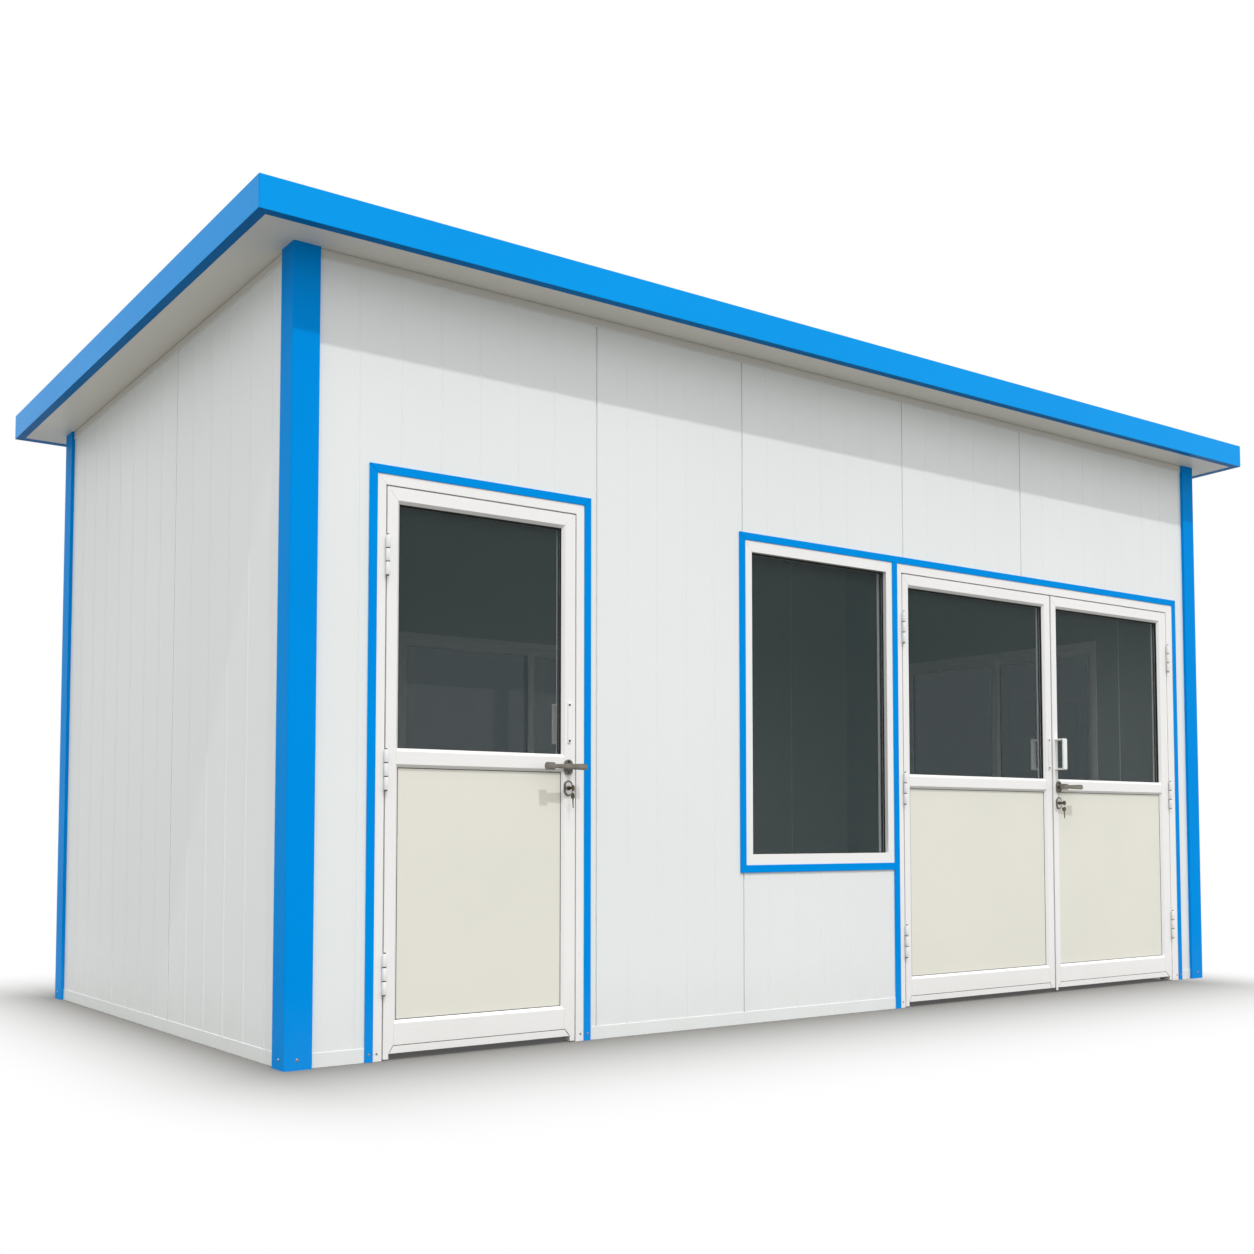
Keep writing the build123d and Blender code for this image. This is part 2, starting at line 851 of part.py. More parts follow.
# Single door, hinged on its left
spindle_bore = across(
    door_lever_place, door_lever_height, spindle_bore_radius, leaf_front - overrun, leaf_back + overrun
)
door_leaf, nodes["door_glass"], nodes["door_panel"] = leaf_pieces(
    door_hinge_line + leaf_gap / 2,
    door_lock_line - leaf_gap / 2,
    door_joint_height - leaf_gap / 2,
    door_hinge_stile,
    door_lock_stile,
    door_top_rail,
    door_mid_rail_height,
    door_mid_rail,
    door_bottom_rail,
)
nodes["door_leaf"] = door_leaf - spindle_bore
nodes["door_hinge_knuckles"] = leaf_hinges(door_hinge_line, 1, door_joint_height)
nodes["door_pulls"] = pulls(door_lock_line - door_pull_back_set, door_pull_middle)
nodes["door_lock"] = lock_set(door_lever_place, door_lever_height)
nodes["door_lever"] = lever(
    door_lever_place,
    door_lever_height,
    lever_bar(door_lever_grip, door_lever_tail),
    lever_bar(door_lever_grip, inner_lever_tail),
)

# Double door, left leaf hinged on its left
nodes["left_leaf"], nodes["left_leaf_glass"], nodes["left_leaf_panel"] = leaf_pieces(
    left_hinge_line + leaf_gap / 2,
    meeting_line - meeting_gap / 2,
    pair_joint_height - leaf_gap / 2,
    left_hinge_stile,
    left_lock_stile,
    pair_top_rail,
    pair_mid_rail_height,
    pair_mid_rail,
    pair_bottom_rail,
)
nodes["left_leaf_hinge_knuckles"] = leaf_hinges(left_hinge_line, 1, pair_joint_height)
nodes["left_leaf_pulls"] = pulls(meeting_line - left_pull_back_set, pair_pull_middle)

# Double door, right leaf hinged on its right, with the lever
spindle_bore = across(
    pair_lever_place, pair_lever_height, spindle_bore_radius, leaf_front - overrun, leaf_back + overrun
)
right_leaf, nodes["right_leaf_glass"], nodes["right_leaf_panel"] = leaf_pieces(
    meeting_line + meeting_gap / 2,
    right_hinge_line - leaf_gap / 2,
    pair_joint_height - leaf_gap / 2,
    right_lock_stile,
    right_hinge_stile,
    pair_top_rail,
    pair_mid_rail_height,
    pair_mid_rail,
    pair_bottom_rail,
)
nodes["right_leaf"] = right_leaf - spindle_bore
nodes["right_leaf_hinge_knuckles"] = leaf_hinges(right_hinge_line, -1, pair_joint_height)
nodes["right_leaf_pulls"] = turned_pulls(meeting_line + right_pull_back_set, pair_pull_middle)
nodes["right_leaf_lock"] = lock_set(pair_lever_place, pair_lever_height)
nodes["right_leaf_lever"] = lever(
    pair_lever_place,
    pair_lever_height,
    lever_bar(pair_lever_drum, pair_lever_grip),
    Rot(0, 0, 180) * lever_bar(pair_lever_grip, inner_lever_tail),
)

os.makedirs("parts", exist_ok=True)
for name, shape in nodes.items():
    export_step(shape, f"parts/{name}.step")
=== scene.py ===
import logging
import math
from contextlib import contextmanager
from dataclasses import dataclass, field
from enum import Enum
from typing import Callable, ClassVar, Iterator, Sequence

import bmesh
import bpy
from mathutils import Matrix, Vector


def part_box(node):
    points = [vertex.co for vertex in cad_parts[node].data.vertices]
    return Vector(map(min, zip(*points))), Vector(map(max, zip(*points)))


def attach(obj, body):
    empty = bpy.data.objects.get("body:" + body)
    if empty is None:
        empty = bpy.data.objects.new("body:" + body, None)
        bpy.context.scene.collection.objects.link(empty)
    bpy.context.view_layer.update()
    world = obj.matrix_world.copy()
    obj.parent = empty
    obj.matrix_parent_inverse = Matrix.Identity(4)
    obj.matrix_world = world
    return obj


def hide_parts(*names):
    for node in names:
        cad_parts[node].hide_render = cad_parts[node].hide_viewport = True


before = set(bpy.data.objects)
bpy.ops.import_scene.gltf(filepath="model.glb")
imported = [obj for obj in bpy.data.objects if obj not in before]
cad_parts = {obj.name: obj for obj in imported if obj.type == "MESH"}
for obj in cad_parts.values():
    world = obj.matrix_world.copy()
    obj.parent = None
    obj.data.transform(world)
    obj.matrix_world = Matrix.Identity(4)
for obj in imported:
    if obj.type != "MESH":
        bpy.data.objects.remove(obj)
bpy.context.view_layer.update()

LOG = logging.getLogger("booth")
MM = 0.001
NEAR = 0.02 * MM
FLAT = 0.9
SQUARE = 0.99
ROUND_FACES = 2
WHITE = (1.0, 1.0, 1.0, 1.0)
BOOTH = "booth"

Pair = tuple[float, float]
Point = tuple[float, float, float]
Steps = Sequence[Pair]
Test = Callable[[Vector], bool]
Piece = bpy.types.Object
Socket = bpy.types.NodeSocket


class Facing(Enum):
    """Way that a flat piece faces, as the turn about Z from the front."""

    FRONT = 0.0
    RIGHT = 90.0
    BACK = 180.0
    LEFT = -90.0

    @property
    def turn(self) -> float:
        """Turn about Z in radians."""
        return math.radians(self.value)

    @property
    def outward(self) -> Vector:
        """Unit vector out of the face."""
        return Vector((math.sin(self.turn), -math.cos(self.turn), 0.0))

    @property
    def along(self) -> Vector:
        """Unit vector along the face, to the right as seen from outside."""
        return Vector((math.cos(self.turn), math.sin(self.turn), 0.0))


class Axis(Enum):
    """Direction of a turned piece, as the turn of a cylinder that stands along Z."""

    X = (0.0, math.pi / 2, 0.0)
    Y = (-math.pi / 2, 0.0, 0.0)
    Z = (0.0, 0.0, 0.0)

    @property
    def way(self) -> Vector:
        """Unit vector along the axis."""
        return Vector([float(self.name == letter) for letter in "XYZ"])


class Wiring:
    """Nodes and links of one material or world."""

    def __init__(self, tree: bpy.types.NodeTree) -> None:
        """Start with an empty tree."""
        self.tree = tree
        self.tree.nodes.clear()

    def node(self, kind: str, **values: object) -> bpy.types.Node:
        """Add a node.

        Args:
            kind: Blender's name of the node type.
            values: Settings of the node, or values of its inputs by name with spaces as underscores.

        Returns:
            The new node.
        """
        made = self.tree.nodes.new(kind)
        for name, value in values.items():
            socket = made.inputs.get(name.replace("_", " "))
            if socket is not None:
                socket.default_value = value
            else:
                setattr(made, name, value)
        return made

    def join(self, out: Socket, into: Socket) -> None:
        """Link an output to an input."""
        self.tree.links.new(out, into)

    def math(self, operation: str, *values: object) -> Socket:
        """Add a math node.

        Args:
            operation: Name of the operation.
            values: Numbers, or output sockets that are linked in.

        Returns:
            The node's output.
        """
        made = self.node("ShaderNodeMath", operation=operation)
        for socket, value in zip(made.inputs, values):
            if isinstance(value, Socket):
                self.join(value, socket)
            else:
                socket.default_value = value
        return made.outputs[0]

    def spread(self, value: Socket, span: Sequence[float], to: Sequence[float],
               kind: str = "SMOOTHSTEP") -> Socket:
        """Map a value from one span to another.

        Args:
            value: Output that is mapped.
            span: Lowest and highest value that count.
            to: What those two become.
            kind: Blender's name of the curve between them.

        Returns:
            The mapped output.
        """
        made = self.node("ShaderNodeMapRange", interpolation_type=kind)
        for socket, number in zip(made.inputs[1:5], (*span, *to)):
            socket.default_value = number
        self.join(value, made.inputs[0])
        return made.outputs[0]

    def mix(self, share: Socket, first: bpy.types.Node, second: bpy.types.Node) -> Socket:
        """Mix two shaders.

        Args:
            share: Share of the second shader.
            first: Node of the first shader.
            second: Node of the second shader.

        Returns:
            The mixed output.
        """
        made = self.node("ShaderNodeMixShader")
        for out, socket in zip((share, first.outputs[0], second.outputs[0]), made.inputs):
            self.join(out, socket)
        return made.outputs[0]


@dataclass(frozen=True)
class Finish:
    """Surface finish that becomes one procedural material.

    Lengths are in metres. Mottling is soft patches of a second colour, grain is a fine relief.
    """

    name: str
    colour: Point
    second: Point
    slot: str | None = None
    mottle: float = 1.2
    rough: Pair = (0.34, 0.44)
    grain: float = 300.0
    relief: float = 0.05 * MM
    stretch: Point = (1.0, 1.0, 1.0)
    metallic: float = 0.0
    specular: float = 0.5
    alpha: float = 1.0
    dust: float = 0.0
    dust_height: float = 0.3
    dust_colour: Point = (0.42, 0.39, 0.34)
    speck: float = 9.0
    colour_span: Pair = (0.38, 0.62)
    rough_span: Pair = (0.36, 0.64)
    bump: float = 0.6

    def material(self) -> bpy.types.Material:
        """Build the material once.

        Returns:
            The material of this finish.
        """
        found = bpy.data.materials.get(f"{self.name}_finish")
        if found is not None:
            return found
        made = bpy.data.materials.new(f"{self.name}_finish")
        made.use_nodes = True
        wires = Wiring(made.node_tree)
        place = wires.node("ShaderNodeTexCoord").outputs["Object"]
        stretched = wires.node("ShaderNodeMapping")
        stretched.inputs["Scale"].default_value = self.stretch
        wires.join(place, stretched.inputs["Vector"])
        patches = wires.node("ShaderNodeTexNoise", Scale=self.mottle, Detail=4.0)
        grains = wires.node("ShaderNodeTexNoise", Scale=self.grain, Detail=2.0)
        wires.join(place, patches.inputs["Vector"])
        wires.join(stretched.outputs["Vector"], grains.inputs["Vector"])
        shader = wires.node("ShaderNodeBsdfPrincipled", Metallic=self.metallic, Alpha=self.alpha)
        shader.inputs["Specular IOR Level"].default_value = self.specular
        both = wires.math("ADD", patches.outputs[0], grains.outputs[0])
        half = wires.math("MULTIPLY", both, 0.5)
        share = wires.spread(half, self.colour_span, (0.0, 1.0))
        colour = self.blend(wires, share, self.colour, self.second)
        if self.dust:
            colour = self.dusted(wires, place, colour)
        wires.join(colour, shader.inputs["Base Color"])
        wires.join(wires.spread(half, self.rough_span, self.rough), shader.inputs["Roughness"])
        bump = wires.node("ShaderNodeBump", Strength=self.bump, Distance=self.relief)
        wires.join(grains.outputs[0], bump.inputs["Height"])
        wires.join(bump.outputs[0], shader.inputs["Normal"])
        out = wires.node("ShaderNodeOutputMaterial")
        wires.join(shader.outputs[0], out.inputs["Surface"])
        if self.alpha < 1.0:
            made.surface_render_method = "BLENDED"
        return made

    def dusted(self, wires: Wiring, place: Socket, colour: Socket) -> Socket:
        """Add road dust that thins out above the ground.

        Args:
            wires: Nodes of the material.
            place: Coordinates of the surface.
            colour: Clean colour.

        Returns:
            The dusty colour.
        """
        apart = wires.node("ShaderNodeSeparateXYZ")
        wires.join(place, apart.inputs[0])
        low = wires.spread(apart.outputs["Z"], (0.0, self.dust_height), (self.dust, 0.0))
        specks = wires.node("ShaderNodeTexNoise", Scale=self.speck, Detail=6.0)
        wires.join(place, specks.inputs["Vector"])
        share = wires.math("MULTIPLY", low, specks.outputs[0])
        return self.blend(wires, share, colour, self.dust_colour)

    @staticmethod
    def blend(wires: Wiring, share: Socket, first: object, second: Point) -> Socket:
        """Mix two colours.

        Args:
            wires: Nodes of the material.
            share: Share of the second colour.
            first: First colour, or an output that gives it.
            second: Second colour.

        Returns:
            The mixed colour.
        """
        made = wires.node("ShaderNodeMix", data_type="RGBA")
        wires.join(share, made.inputs["Factor"])
        if isinstance(first, Socket):
            wires.join(first, made.inputs[6])
        else:
            made.inputs[6].default_value = (*first, 1.0)
        made.inputs[7].default_value = (*second, 1.0)
        return made.outputs[2]


WHITE_SHEET = Finish("white_sheet", (0.82, 0.845, 0.842), (0.795, 0.82, 0.817), "white_sheet", 0.9,
                     (0.4, 0.5), 260.0, 0.04 * MM, specular=0.35, dust=0.14)
# Mostly the sheet's own white; the warm, slightly darker tint is painted shade under the eave.
SOFFIT_SHADE_SHEET = Finish("soffit_shade_sheet", (0.8, 0.78, 0.71), (0.775, 0.755, 0.69), "white_sheet", 0.9,
                      (0.42, 0.52), 260.0, 0.03 * MM, specular=0.3)
# Painted shade: the soffit cover strips are the wall's white painted darker, for the shade under the eave.
COVER_SHADE_SHEET = Finish("cover_shade_sheet", (0.69, 0.685, 0.645), (0.66, 0.655, 0.62), "white_sheet", 0.9,
                     (0.42, 0.52), 260.0, 0.03 * MM, specular=0.3)
# Painted shade: the roof's top is painted mid grey, darker than the sheet's white, to offset the bright sky
# overhead.
ROOF_TOP_SHADE = Finish("roof_sheet", (0.48, 0.488, 0.49), (0.45, 0.458, 0.46), "white_sheet", 0.7,
                    (0.4, 0.5), 260.0, 0.05 * MM, specular=0.35)
# Painted shade: the inside lining and ceiling strips are painted mid grey for the dim room seen through the
# glass.
LINING_SHADE_SHEET = Finish("lining_shade_sheet", (0.5, 0.53, 0.525), (0.475, 0.505, 0.5), "white_sheet", 0.8,
                      (0.45, 0.55), 240.0, 0.04 * MM, specular=0.2)
# Painted shade: the cornice is near black to draw the shadow lines along the room's upper corners.
CORNICE_SHADE = Finish("cornice", (0.12, 0.125, 0.125), (0.1, 0.105, 0.105), "white_sheet", 3.0,
                 (0.45, 0.55), 240.0, 0.04 * MM, specular=0.2)
BLUE_SHEET = Finish("blue_sheet", (0.0, 0.285, 0.8), (0.0, 0.265, 0.765), "blue_sheet", 1.4,
                    (0.26, 0.34), 420.0, 0.03 * MM, specular=0.01, dust=0.04)
BLUE_EDGE = Finish("blue_edge", (0.0, 0.34, 0.88), (0.0, 0.315, 0.84), "blue_sheet", 0.8,
                   (0.24, 0.32), 420.0, 0.02 * MM, specular=0.05)
# Painted shade: the fascia lip's downward faces take this darker blue, for the shade under the eave.
BLUE_LIP_SHADE = Finish("blue_lip_shade", (0.004, 0.19, 0.53), (0.003, 0.17, 0.48), "blue_sheet", 0.8,
                   (0.34, 0.44), 420.0, 0.02 * MM, specular=0.02)
WHITE_FRAME = Finish("white_frame", (0.89, 0.885, 0.875), (0.86, 0.855, 0.845), "white_frame", 2.0,
                     (0.26, 0.36), 700.0, 0.015 * MM, dust=0.1)
CREAM_PANEL = Finish("cream_panel", (0.79, 0.775, 0.69), (0.765, 0.755, 0.675), "cream_panel", 2.4,
                     (0.4, 0.5), 520.0, 0.03 * MM, dust=0.08)
TINTED_GLASS = Finish("tinted_glass", (0.085, 0.138, 0.147), (0.091, 0.145, 0.154), "tinted_glass", 1.1,
                      (0.015, 0.03), 2.0, 0.01 * MM, specular=0.3, alpha=0.12)
# Painted shade: a darker, nearly opaque copy of the tinted glass for the back and end panes, so the room
# behind the front glass reads dark.
SHADED_BACK_GLASS = Finish("shaded_back_glass", (0.02, 0.042, 0.045), (0.025, 0.048, 0.051), "tinted_glass", 1.1,
                    (0.015, 0.03), 2.0, 0.01 * MM, specular=0.3, alpha=0.8)
BRUSHED_METAL = Finish("brushed_metal", (0.27, 0.25, 0.21), (0.18, 0.167, 0.14), "brushed_metal", 30.0,
                       (0.24, 0.36), 900.0, 0.02 * MM, (0.05, 1.0, 1.0), metallic=1.0)
PLATE_METAL = Finish("plate_metal", (0.2, 0.19, 0.17), (0.14, 0.132, 0.118), "brushed_metal", 40.0,
                     (0.26, 0.38), 900.0, 0.02 * MM, metallic=1.0)
BRIGHT_METAL = Finish("bright_metal", (0.62, 0.61, 0.58), (0.5, 0.49, 0.47), "brushed_metal", 60.0,
                      (0.2, 0.32), 900.0, 0.01 * MM, metallic=1.0)
SCREW_STEEL = Finish("screw_steel", (0.45, 0.46, 0.48), (0.36, 0.37, 0.39), "brushed_metal", 90.0,
                     (0.3, 0.45), 900.0, 0.02 * MM, metallic=1.0)
KEY_METAL = Finish("key_metal", (0.2, 0.175, 0.125), (0.13, 0.115, 0.085), "brushed_metal", 80.0,
                   (0.28, 0.42), 1200.0, 0.02 * MM, metallic=1.0)
DARK_STEEL = Finish("dark_steel", (0.03, 0.03, 0.032), (0.05, 0.048, 0.046), None, 60.0,
                    (0.4, 0.55), 900.0, 0.02 * MM, metallic=0.6)
RUBBER = Finish("rubber", (0.03, 0.031, 0.031), (0.042, 0.042, 0.042), None, 20.0,
                (0.55, 0.7), 900.0, 0.03 * MM, specular=0.25)


class Bench:
    """Hand tools: each shapes one mesh object through Blender's operators."""

    @staticmethod
    def take(piece: Piece) -> None:
        """Make a piece the only selected object, and the active one.

        Args:
            piece: Mesh object.
        """
        bpy.ops.object.select_all(action="DESELECT")
        piece.select_set(True)
        bpy.context.view_layer.objects.active = piece

    @staticmethod
    @contextmanager
    def editing(piece: Piece, kind: str = "VERT") -> Iterator[None]:
        """Open a piece in edit mode with nothing selected.

        Args:
            piece: Mesh object.
            kind: What is selected in it: VERT, EDGE or FACE.

        Yields:
            Nothing; the piece is open meanwhile.
        """
        Bench.take(piece)
        bpy.ops.object.mode_set(mode="EDIT")
        bpy.ops.mesh.select_mode(type=kind)
        bpy.ops.mesh.select_all(action="DESELECT")
        yield
        bpy.ops.object.mode_set(mode="OBJECT")

    @staticmethod
    def pick(piece: Piece, parts: str, test: Callable[[object], bool]) -> None:
        """Select the parts of a piece, in edit mode, that pass a test.

        Args:
            piece: Mesh object that is being edited.
            parts: Which parts: verts, edges or faces.
            test: Whether a part is selected.
        """
        work = bmesh.from_edit_mesh(piece.data)
        for part in getattr(work, parts):
            part.select_set(test(part))
        if parts == "verts":
            work.select_flush(True)
        bmesh.update_edit_mesh(piece.data)

    @staticmethod
    def pick_face(piece: Piece, way: Vector) -> Vector:
        """Select the face furthest along a direction, in edit mode.

        Args:
            piece: Mesh object that is being edited.
            way: Unit vector.

        Returns:
            The face's middle.
        """
        work = bmesh.from_edit_mesh(piece.data)
        facing = [face for face in work.faces if face.normal.dot(way) > SQUARE]
        best = max(facing, key=lambda face: face.calc_center_median().dot(way))
        Bench.pick(piece, "faces", lambda face: face == best)
        return best.calc_center_median()

    @staticmethod
    def settle(name: str) -> Piece:
        """Name the active object and move its place into its mesh.

        Args:
            name: New name.

        Returns:
            The object.
        """
        piece = bpy.context.object
        piece.name = name
        piece.data.name = name
        bpy.ops.object.transform_apply(location=True, rotation=True, scale=True)
        return piece

    @staticmethod
    def block(name: str, low: Sequence[float], high: Sequence[float]) -> Piece:
        """Start a piece from a cube.

        Args:
            name: Name of the piece.
            low: Lowest corner.
            high: Highest corner.

        Returns:
            The block.
        """
        low, high = Vector(low), Vector(high)
        bpy.ops.mesh.primitive_cube_add(size=1.0, location=(low + high) / 2)
        bpy.context.object.scale = high - low
        return Bench.settle(name)

    @staticmethod
    def turned(name: str, start: Sequence[float], axis: Axis, steps: Steps,
               edge: float = 0.0, sides: int = 28, back: bool = False) -> Piece:
        """Turn a round piece: a cylinder whose end face is drawn out step by step.

        Args:
            name: Name of the piece.
            start: Middle of the first end.
            axis: Direction of the piece.
            steps: Length and end radius of each step.
            edge: Width of the eased rims.
            sides: Sides of the round.
            back: Whether the piece grows against the axis.

        Returns:
            The turned piece.
        """
        way = -axis.way if back else axis.way
        length, radius = steps[0]
        bpy.ops.mesh.primitive_cylinder_add(vertices=sides, radius=radius, depth=length,
                                            location=Vector(start) + way * length / 2, rotation=axis.value)
        piece = Bench.settle(name)
        with Bench.editing(piece, "FACE"):
            middle = Bench.pick_face(piece, way)
            for advance, wider in steps[1:]:
                bpy.ops.mesh.extrude_region_move(TRANSFORM_OT_translate={"value": way * advance})
                middle = middle + way * advance
                bpy.ops.transform.resize(value=(wider / radius,) * 3, center_override=middle)
                radius = wider
        if edge:
            Bench.ease(piece, edge)
        Bench.smooth(piece)
        return piece

    @staticmethod
    def cast(node: str, name: str) -> Piece:
        """Copy a solid's mesh, with its doubles merged and its flat faces whole.

        Args:
            node: Name of the solid.
            name: Name of the copy.

        Returns:
            The copy.
        """
        piece = bpy.data.objects.new(name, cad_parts[node].data.copy())
        piece.data.name = name
        bpy.context.scene.collection.objects.link(piece)
        with Bench.editing(piece):
            bpy.ops.mesh.customdata_custom_splitnormals_clear()
            bpy.ops.mesh.select_all(action="SELECT")
            bpy.ops.mesh.remove_doubles(threshold=0.005 * MM)
            bpy.ops.mesh.dissolve_limited(angle_limit=math.radians(0.5))
            bpy.ops.mesh.faces_shade_flat()
        return piece

    @staticmethod
    def apply(piece: Piece, kind: str, **settings: object) -> None:
        """Run a modifier over a piece.

        Args:
            piece: Mesh object.
            kind: Blender's name of the modifier.
            settings: Its settings by name.
        """
        Bench.take(piece)
        bpy.ops.object.modifier_add(type=kind)
        tool = piece.modifiers[-1]
        for name, value in settings.items():
            setattr(tool, name, value)
        bpy.ops.object.modifier_apply(modifier=tool.name)

    @staticmethod
    def ease(piece: Piece, width: float, angle: float = 32.0) -> None:
        """Round the sharp edges of a piece.

        Args:
            piece: Mesh object.
            width: Width of the rounding.
            angle: Least angle of an edge that counts, in degrees.
        """
        Bench.apply(piece, "BEVEL", width=width, segments=ROUND_FACES, limit_method="ANGLE",
                    angle_limit=math.radians(angle))

    @staticmethod
    def smooth(piece: Piece, angle: float = 32.0) -> None:
        """Shade a piece smooth, apart from edges sharper than an angle in degrees."""
        Bench.take(piece)
        bpy.ops.object.shade_smooth_by_angle(angle=math.radians(angle))

    @staticmethod
    def trim(piece: Piece, place: Sequence[float], way: Sequence[float]) -> None:
        """Saw off what lies beyond a plane.

        Args:
            piece: Mesh object.
            place: Point on the plane.
            way: Normal of the plane, towards the waste.
        """
        with Bench.editing(piece):
            bpy.ops.mesh.select_all(action="SELECT")
            bpy.ops.mesh.bisect(plane_co=place, plane_no=way, use_fill=True, clear_outer=True)

    @staticmethod
    def score(piece: Piece, place: Sequence[float], way: Sequence[float], shift: Vector,
              edges: Sequence[float], test: Test) -> None:
        """Work a straight line into a flat face: a seam that is sunk, or a rib that is raised.

        Args:
            piece: Mesh object.
            place: Point on the line.
            way: Unit vector across the line, in the face.
            shift: How far the line's inner cuts go, inward for a seam and outward for a rib.
            edges: Places of the cuts across the line; those inside the outer two are shifted.
            test: Whether a point of the face belongs to the line.
        """
        place, way = Vector(place), Vector(way)
        inner = edges[1:-1]
        with Bench.editing(piece):
            for offset in edges:
                bpy.ops.mesh.select_all(action="SELECT")
                bpy.ops.mesh.bisect(plane_co=place + way * offset, plane_no=way)

            def on_line(point: Vector) -> bool:
                """Whether a point is on one of the inner cuts."""
                across = (point - place).dot(way)
                return test(point) and any(abs(across - offset) < NEAR for offset in inner)

            Bench.pick(piece, "verts", lambda corner: on_line(corner.co))
            bpy.ops.transform.translate(value=shift)

    @staticmethod
    def move(piece: Piece, test: Test, shift: Sequence[float]) -> None:
        """Move the part of a piece whose points pass a test.

        Args:
            piece: Mesh object.
            test: Which points move.
            shift: How far they go.
        """
        with Bench.editing(piece):
            Bench.pick(piece, "verts", lambda corner: test(corner.co))
            bpy.ops.transform.translate(value=shift)

    @staticmethod
    def rim(piece: Piece, test: Callable[[Vector, Vector], bool], width: float) -> None:
        """Round chosen edges of a piece.

        Args:
            piece: Mesh object.
            test: Whether an edge between two points is rounded.
            width: Width of the rounding.
        """
        with Bench.editing(piece, "EDGE"):
            Bench.pick(piece, "edges", lambda edge: test(edge.verts[0].co, edge.verts[1].co))
            bpy.ops.mesh.bevel(offset=width, segments=ROUND_FACES, affect="EDGES")

    @staticmethod
    def coat(piece: Piece, finish: Finish, test: Callable[[Vector, Vector], bool]) -> None:
        """Give some faces of a fitted piece a second finish.

        Args:
            piece: Fitted mesh object.
            finish: The second finish.
            test: Whether a face takes it, by its normal and its middle.
        """
        piece.data.materials.append(finish.material())
        with Bench.editing(piece, "FACE"):
            Bench.pick(piece, "faces", lambda side: test(side.normal, side.calc_center_median()))
            piece.active_material_index = len(piece.data.materials) - 1
            bpy.ops.object.material_slot_assign()

    @staticmethod
    def ring(name: str, middle: Sequence[float], width: float, height: float, band: float, depth: float,
             facing: Facing) -> Piece:
        """Make a flat ring: a plane, inset, opened and thickened outwards.

        Args:
            name: Name of the piece.
            middle: Middle of the ring's back.
            width: Outer width.
            height: Outer height.
            band: Width of the band.
            depth: Thickness.
            facing: Way it faces.

        Returns:
            The ring.
        """
        bpy.ops.mesh.primitive_plane_add(size=1.0, location=middle, rotation=(math.pi / 2, 0.0, facing.turn))
        bpy.context.object.scale = (width, height, 1.0)
        piece = Bench.settle(name)
        with Bench.editing(piece, "FACE"):
            bpy.ops.mesh.select_all(action="SELECT")
            bpy.ops.mesh.inset(thickness=band, depth=0.0)
            bpy.ops.mesh.delete(type="FACE")
        Bench.apply(piece, "SOLIDIFY", thickness=depth, offset=1.0)
        return piece

    @staticmethod
    def copy(piece: Piece, name: str, shift: Sequence[float], turn: float = 0.0) -> Piece:
        """Copy a piece with a mesh of its own.

        Args:
            piece: Mesh object at the origin.
            name: Name of the copy.
            shift: How far it goes.
            turn: Turn about Z, in radians, before that.

        Returns:
            The copy.
        """
        twin = piece.copy()
        twin.data = piece.data.copy()
        bpy.context.scene.collection.objects.link(twin)
        twin.location = shift
        twin.rotation_euler.z = turn
        Bench.take(twin)
        return Bench.settle(name)

    @staticmethod
    def join(pieces: Sequence[Piece], name: str) -> Piece:
        """Join pieces into one.

        Args:
            pieces: Mesh objects.
            name: Name of the result.

        Returns:
            The joined object.
        """
        Bench.take(pieces[0])
        for piece in pieces:
            piece.select_set(True)
        if len(pieces) > 1:
            bpy.ops.object.join()
        return Bench.settle(name)

    @staticmethod
    def fit(piece: Piece, finish: Finish, body: str, *nodes: str) -> Piece:
        """Dress a finished piece and let it ride on its body.

        Args:
            piece: Finished mesh object.
            finish: Its finish.
            body: Body that carries it.
            nodes: Solids that it stands for.

        Returns:
            The piece.
        """
        piece.data.materials.clear()
        piece.data.materials.append(finish.material())
        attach(piece, body)
        if nodes:
            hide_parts(*nodes)
        LOG.info("%s on %s: %d faces", piece.name, body, len(piece.data.polygons))
        return piece

    @staticmethod
    def paint(finish: Finish, *nodes: str) -> None:
        """Give solids that stay as they are a finish.

        Args:
            finish: Their finish.
            nodes: Names of the solids.
        """
        for node in nodes:
            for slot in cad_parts[node].material_slots:
                slot.material = finish.material()
            LOG.info("%s keeps its solid", node)


@dataclass(frozen=True)
class Run:
    """Row of ribs at an even pitch."""

    start: float
    pitch: float
    count: int

    def places(self) -> list[float]:
        """Places of the ribs."""
        return [self.start + self.pitch * number for number in range(self.count)]


